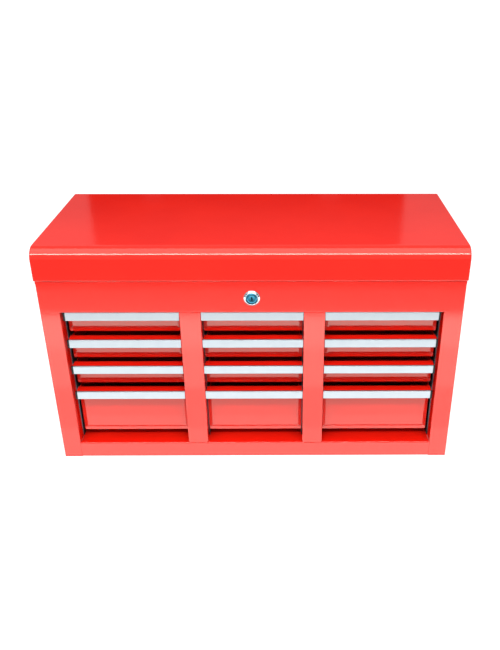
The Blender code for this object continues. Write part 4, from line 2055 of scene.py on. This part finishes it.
@dataclass
class GasStrut:
    """A gas strut inside one side: tube, rod, nylon end sockets and two studded brackets."""

    side: Side
    tube_radius: float = 5.5 * MM
    tube_length: float = 86 * MM
    rod_radius: float = 2.5 * MM
    eye_radius: float = 6 * MM
    stud_radius: float = 3.5 * MM
    plate: float = 1.2 * MM

    def __post_init__(self) -> None:
        """Takes the strut's ends from its brackets."""
        word = self.side.word
        tube = Box.of(f"strut_tube_{word}")
        low = Box.of(f"strut_bracket_cabinet_{word}").centre
        high = Box.of(f"strut_bracket_lid_{word}").centre
        self.x = tube.centre.x
        self.foot = Vector((self.x, low.y, low.z))
        self.head = Vector((self.x, high.y, high.z))

    def laid(self, mesh: bpy.types.Mesh, at: Vector) -> bpy.types.Mesh:
        """Moves a mesh that is made along Y onto the strut's line.

        Args:
            mesh: the mesh, which starts at the origin.
            at: the point where it is to start.

        Returns:
            The same mesh.
        """
        span = self.head - self.foot
        angle = math.atan2(span.z, span.y)
        mesh.transform(Matrix.Translation(at) @ Matrix.Rotation(angle, 4, "X"))
        return mesh

    def tube(self) -> bpy.types.Mesh:
        """The painted tube with its rolled front end."""
        r, end = self.tube_radius, self.tube_length
        profile = [
            (0, 5 * MM),
            (r - 1.2 * MM, 5 * MM),
            (r - 0.3 * MM, 5.6 * MM),
            (r, 6.6 * MM),
            (r, end - 2.2 * MM),
            (r - 0.3 * MM, end - 1.2 * MM),
            (r - 1.1 * MM, end - 0.3 * MM),
            (r - 1.9 * MM, end),
            (self.rod_radius + 0.3 * MM, end),
            (self.rod_radius + 0.3 * MM, end - 6 * MM),
            (0, end - 6 * MM),
        ]
        return self.laid(turned(profile, Axis.Y, (0, 0), 40), self.foot)

    def rod(self) -> bpy.types.Mesh:
        """The polished rod, from inside the tube to the far socket."""
        length = (self.head - self.foot).length
        r = self.rod_radius
        profile = [(0, 18 * MM), (r, 18 * MM), (r, length - 4 * MM), (0, length - 4 * MM)]
        return self.laid(turned(profile, Axis.Y, (0, 0), 28), self.foot)

    def socket(self, at: Vector, toward: int) -> bpy.types.Mesh:
        """A nylon end socket: a round eye on a short neck.

        Args:
            at: the stud's centre on the strut's plane.
            toward: 1 if the neck points up the strut, and -1 if it points down.

        Returns:
            The socket.
        """
        e = self.eye_radius
        eye = turned(
            [
                (0, -e),
                (e - 1.3 * MM, -e),
                (e - 0.4 * MM, -e + 0.5 * MM),
                (e, -e + 1.6 * MM),
                (e, e - 1.6 * MM),
                (e - 0.4 * MM, e - 0.5 * MM),
                (e - 1.3 * MM, e),
                (0, e),
            ],
            Axis.X,
            (0, 0),
            40,
        )
        neck = turned(
            [
                (0, 2 * MM * toward),
                (4.6 * MM, 2 * MM * toward),
                (4.2 * MM, (e + 1.5 * MM) * toward),
                (3.4 * MM, (e + 3.0 * MM) * toward),
                (0, (e + 3.0 * MM) * toward),
            ],
            Axis.Y,
            (0, 0),
            32,
        )
        return self.laid(joined([eye, neck]), at)

    def bracket(self, node: str) -> bpy.types.Mesh:
        """A bracket: a round-cornered plate, a stud with a flange, and two screws.

        Args:
            node: the CAD node that it stands for.

        Returns:
            The bracket.
        """
        box, s = Box.of(node), self.side.value
        centre = (box.centre.y, box.centre.z)
        outer = box.high.x if s > 0 else box.low.x
        inner = outer - s * self.plate
        tip = box.low.x if s > 0 else box.high.x
        plate = softened(
            prism(rounded(centre, box.size.y, box.size.z, 4 * MM), Axis.X, inner, outer), 0.3 * MM
        )
        stud = turned(
            [
                (0, tip),
                (self.stud_radius - 0.7 * MM, tip),
                (self.stud_radius, tip + s * 0.6 * MM),
                (self.stud_radius, inner - s * 1.2 * MM),
                (self.stud_radius + 1.6 * MM, inner - s * 1.1 * MM),
                (self.stud_radius + 1.6 * MM, inner + s * 0.3 * MM),
                (0, inner + s * 0.3 * MM),
            ],
            Axis.X,
            centre,
            36,
        )
        reach = box.size.y / 2 - 4 * MM
        screws = RivetRow(
            (inner, centre[0] - reach, centre[1]), (inner, centre[0] + reach, centre[1]), 2,
            (-float(s), 0, 0), 2.2 * MM, 1.0 * MM,
        ).mesh(ZINC)
        return joined([plate, stud, screws])

    def build(self) -> None:
        """Makes the strut and its brackets."""
        word = self.side.word
        tube, rod = f"strut_tube_{word}", f"strut_rod_{word}"
        mount(f"{tube}_painted", self.tube(), BLACK_ENAMEL, tube, [tube])
        mount(f"{tube}_socket", self.socket(self.foot, 1), BLACK_PLASTIC, tube)
        mount(f"{rod}_polished", self.rod(), CHROME, rod, [rod])
        mount(f"{rod}_socket", self.socket(self.head, -1), BLACK_PLASTIC, rod)
        for part, body in (("cabinet", "cabinet"), ("lid", "lid")):
            node = f"strut_bracket_{part}_{word}"
            mount(f"{node}_studded", self.bracket(node), ZINC, body, [node])


# --- Studio ----------------------------------------------------------------------------------


@dataclass(frozen=True)
class Panel:
    """A soft light panel.

    Attributes:
        name: the light's name.
        place: its centre.
        target: the point that it faces.
        size: its width and height.
        glow: its brightness, where 1 is paper white.
        diffuse: whether it lights surfaces, or only shows in their gloss.
    """

    name: str
    place: Triple
    target: Triple
    size: Point
    glow: float
    diffuse: bool = True

    def build(self) -> None:
        """Adds the light to the scene."""
        light = bpy.data.lights.new(self.name, "AREA")
        light.shape = "RECTANGLE"
        light.size, light.size_y = self.size
        light.energy = self.glow * self.size[0] * self.size[1] * 4
        lamp = placed(self.name, light)
        lamp.location = self.place
        aim = Vector(self.target) - Vector(self.place)
        lamp.rotation_euler = aim.to_track_quat("-Z", "Y").to_euler()
        lamp.visible_camera = False
        lamp.visible_diffuse = self.diffuse


@dataclass
class Studio:
    """The floor, the lights, the surround and the camera.

    Attributes:
        camera_place: where the camera stands.
        yaw: its turn to the left, in degrees.
        pitch: how far it looks down, in degrees.
        roll: its tilt, in degrees.
        lens: its focal length in mm, on a sensor 36 mm wide.
        shift: its lens shift across and up, as shares of the picture's width.
        fill: the surround's light on matt surfaces.
        sky: how far up a direction points, from 0 to 1, with the grey that gloss mirrors there.
        panels: the lights.
    """

    camera_place: Triple = (0.0429, -1.0499, 0.6959)
    yaw: float = -0.454
    pitch: float = 28.338
    roll: float = 0.093
    lens: float = 40.18
    shift: Point = (-0.058, 0.0294)
    fill: float = 0.49
    sky: tuple[Point, ...] = (
        (0.0, 0.01), (0.27, 0.01), (0.3, 0.06), (0.334, 0.16), (0.6, 0.55), (1.0, 0.8),
    )
    panels: tuple[Panel, ...] = (
        Panel("front_key", (0.0, -0.9, 1.1), (0.0, -0.12, 0.33), (2.0, 0.14), 16.5),
        Panel("overhead", (0.0, -0.5, 1.8), (0.0, -0.1, 0.2), (2.2, 1.4), 1.75),
        Panel("card_1", (0.0, -0.163, 0.0015), (0.0, -0.163, 1.0), (2.0, 0.075), 1.8, False),
        Panel("card_2", (0.0, -0.265, 0.0015), (0.0, -0.265, 1.0), (2.0, 0.13), 1.4, False),
        Panel("card_3", (0.0, -0.405, 0.0015), (0.0, -0.405, 1.0), (2.0, 0.15), 2.1, False),
        Panel("card_4", (0.0, -0.555, 0.0015), (0.0, -0.555, 1.0), (2.0, 0.15), 2.8, False),
        Panel("left_wing", (-1.515, 2.0, 1.1), (-1.515, 0.0, 1.1), (1.45, 2.2), 0.2, False),
        Panel("right_wing", (1.294, 2.0, 1.1), (1.294, 0.0, 1.1), (1.45, 2.2), 0.2, False),
        Panel("left_lamp", (-0.515, 2.0, 0.82), (-0.515, 0.0, 0.82), (0.08, 0.14), 0.14, False),
        Panel("right_lamp", (0.245, 2.0, 0.82), (0.245, 0.0, 0.82), (0.085, 0.14), 0.14, False),
    )

    def floor(self) -> None:
        """Lays the light table."""
        mesh = bpy.data.meshes.new("opal_floor")
        mesh.from_pydata(
            [(-6, -0.78, 0), (6, -0.78, 0), (6, 12, 0), (-6, 12, 0)], [], [(0, 1, 2, 3)]
        )
        mesh.materials.append(OPAL.material())
        floor = placed("opal_floor", mesh)
        floor.location.z = -0.0004

    def surround(self) -> None:
        """Makes a white surround whose reflection darkens towards the horizon."""
        world = bpy.data.worlds.new("surround")
        world.use_nodes = True
        tree = world.node_tree
        tree.nodes.clear()
        place = add_node(tree, "ShaderNodeTexCoord").outputs["Generated"]
        way = add_node(tree, "ShaderNodeSeparateXYZ", links={0: place}).outputs
        ramp = add_node(tree, "ShaderNodeValToRGB", links={0: way["Z"]})
        elements = ramp.color_ramp.elements
        for index, (at, grey) in enumerate(self.sky):
            stop = elements[index] if index < 2 else elements.new(at)
            stop.position, stop.color = at, (grey, grey, grey, 1)
        ahead = add_node(
            tree, "ShaderNodeMapRange", {"From Min": 0.1, "From Max": -0.1}, {"Value": way["Y"]}
        )
        haze = add_node(
            tree, "ShaderNodeMapRange", {"From Min": -0.1, "From Max": 0.1, "To Min": 0.6},
            {"Value": way["Z"]},
        )
        front = add_node(
            tree, "ShaderNodeMix", {"data_type": "RGBA"},
            {0: ahead.outputs[0], 6: ramp.outputs[0], 7: haze.outputs[0]},
        )
        gloss = add_node(tree, "ShaderNodeBackground", {"Strength": 1.0}, {0: front.outputs[2]})
        path = add_node(tree, "ShaderNodeLightPath").outputs
        lift = add_node(tree, "ShaderNodeMath", {1: self.fill}, {0: path["Is Camera Ray"]})
        plain = add_node(
            tree, "ShaderNodeBackground", {0: (1, 1, 1, 1)}, {"Strength": lift.outputs[0]}
        )
        mixed = add_node(
            tree,
            "ShaderNodeMixShader",
            links={0: path["Is Glossy Ray"], 1: plain.outputs[0], 2: gloss.outputs[0]},
        )
        add_node(tree, "ShaderNodeOutputWorld", links={0: mixed.outputs[0]})
        bpy.context.scene.world = world

    def camera(self) -> None:
        """Sets the camera up."""
        data = bpy.data.cameras.new("view")
        data.lens, data.sensor_width = self.lens, 36.0
        data.shift_x, data.shift_y = self.shift
        data.clip_start, data.clip_end = 0.01, 50.0
        camera = placed("view", data)
        camera.location = self.camera_place
        yaw, tilt, roll = (
            Matrix.Rotation(math.radians(angle), 4, axis)
            for angle, axis in ((self.yaw, "Z"), (90 - self.pitch, "X"), (self.roll, "Z"))
        )
        camera.rotation_euler = (yaw @ tilt @ roll).to_euler()
        bpy.context.scene.camera = camera

    def build(self) -> None:
        """Makes the whole studio."""
        self.floor()
        self.surround()
        for panel in self.panels:
            panel.build()
        self.camera()
        bpy.context.scene.view_settings.view_transform = "Standard"
        bpy.context.scene.view_settings.look = "None"


def main() -> None:
    """Builds the chest and the studio."""
    logging.basicConfig(level=logging.INFO, format="%(message)s")
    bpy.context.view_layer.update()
    Studio().build()
    Cabinet().build()
    DrawerBank().build()
    Lid().build()
    PianoHinge().build()
    CamLock().build()
    for side in Side:
        SideHandle(side).build()
        GasStrut(side).build()


if __name__ == "__main__":
    main()
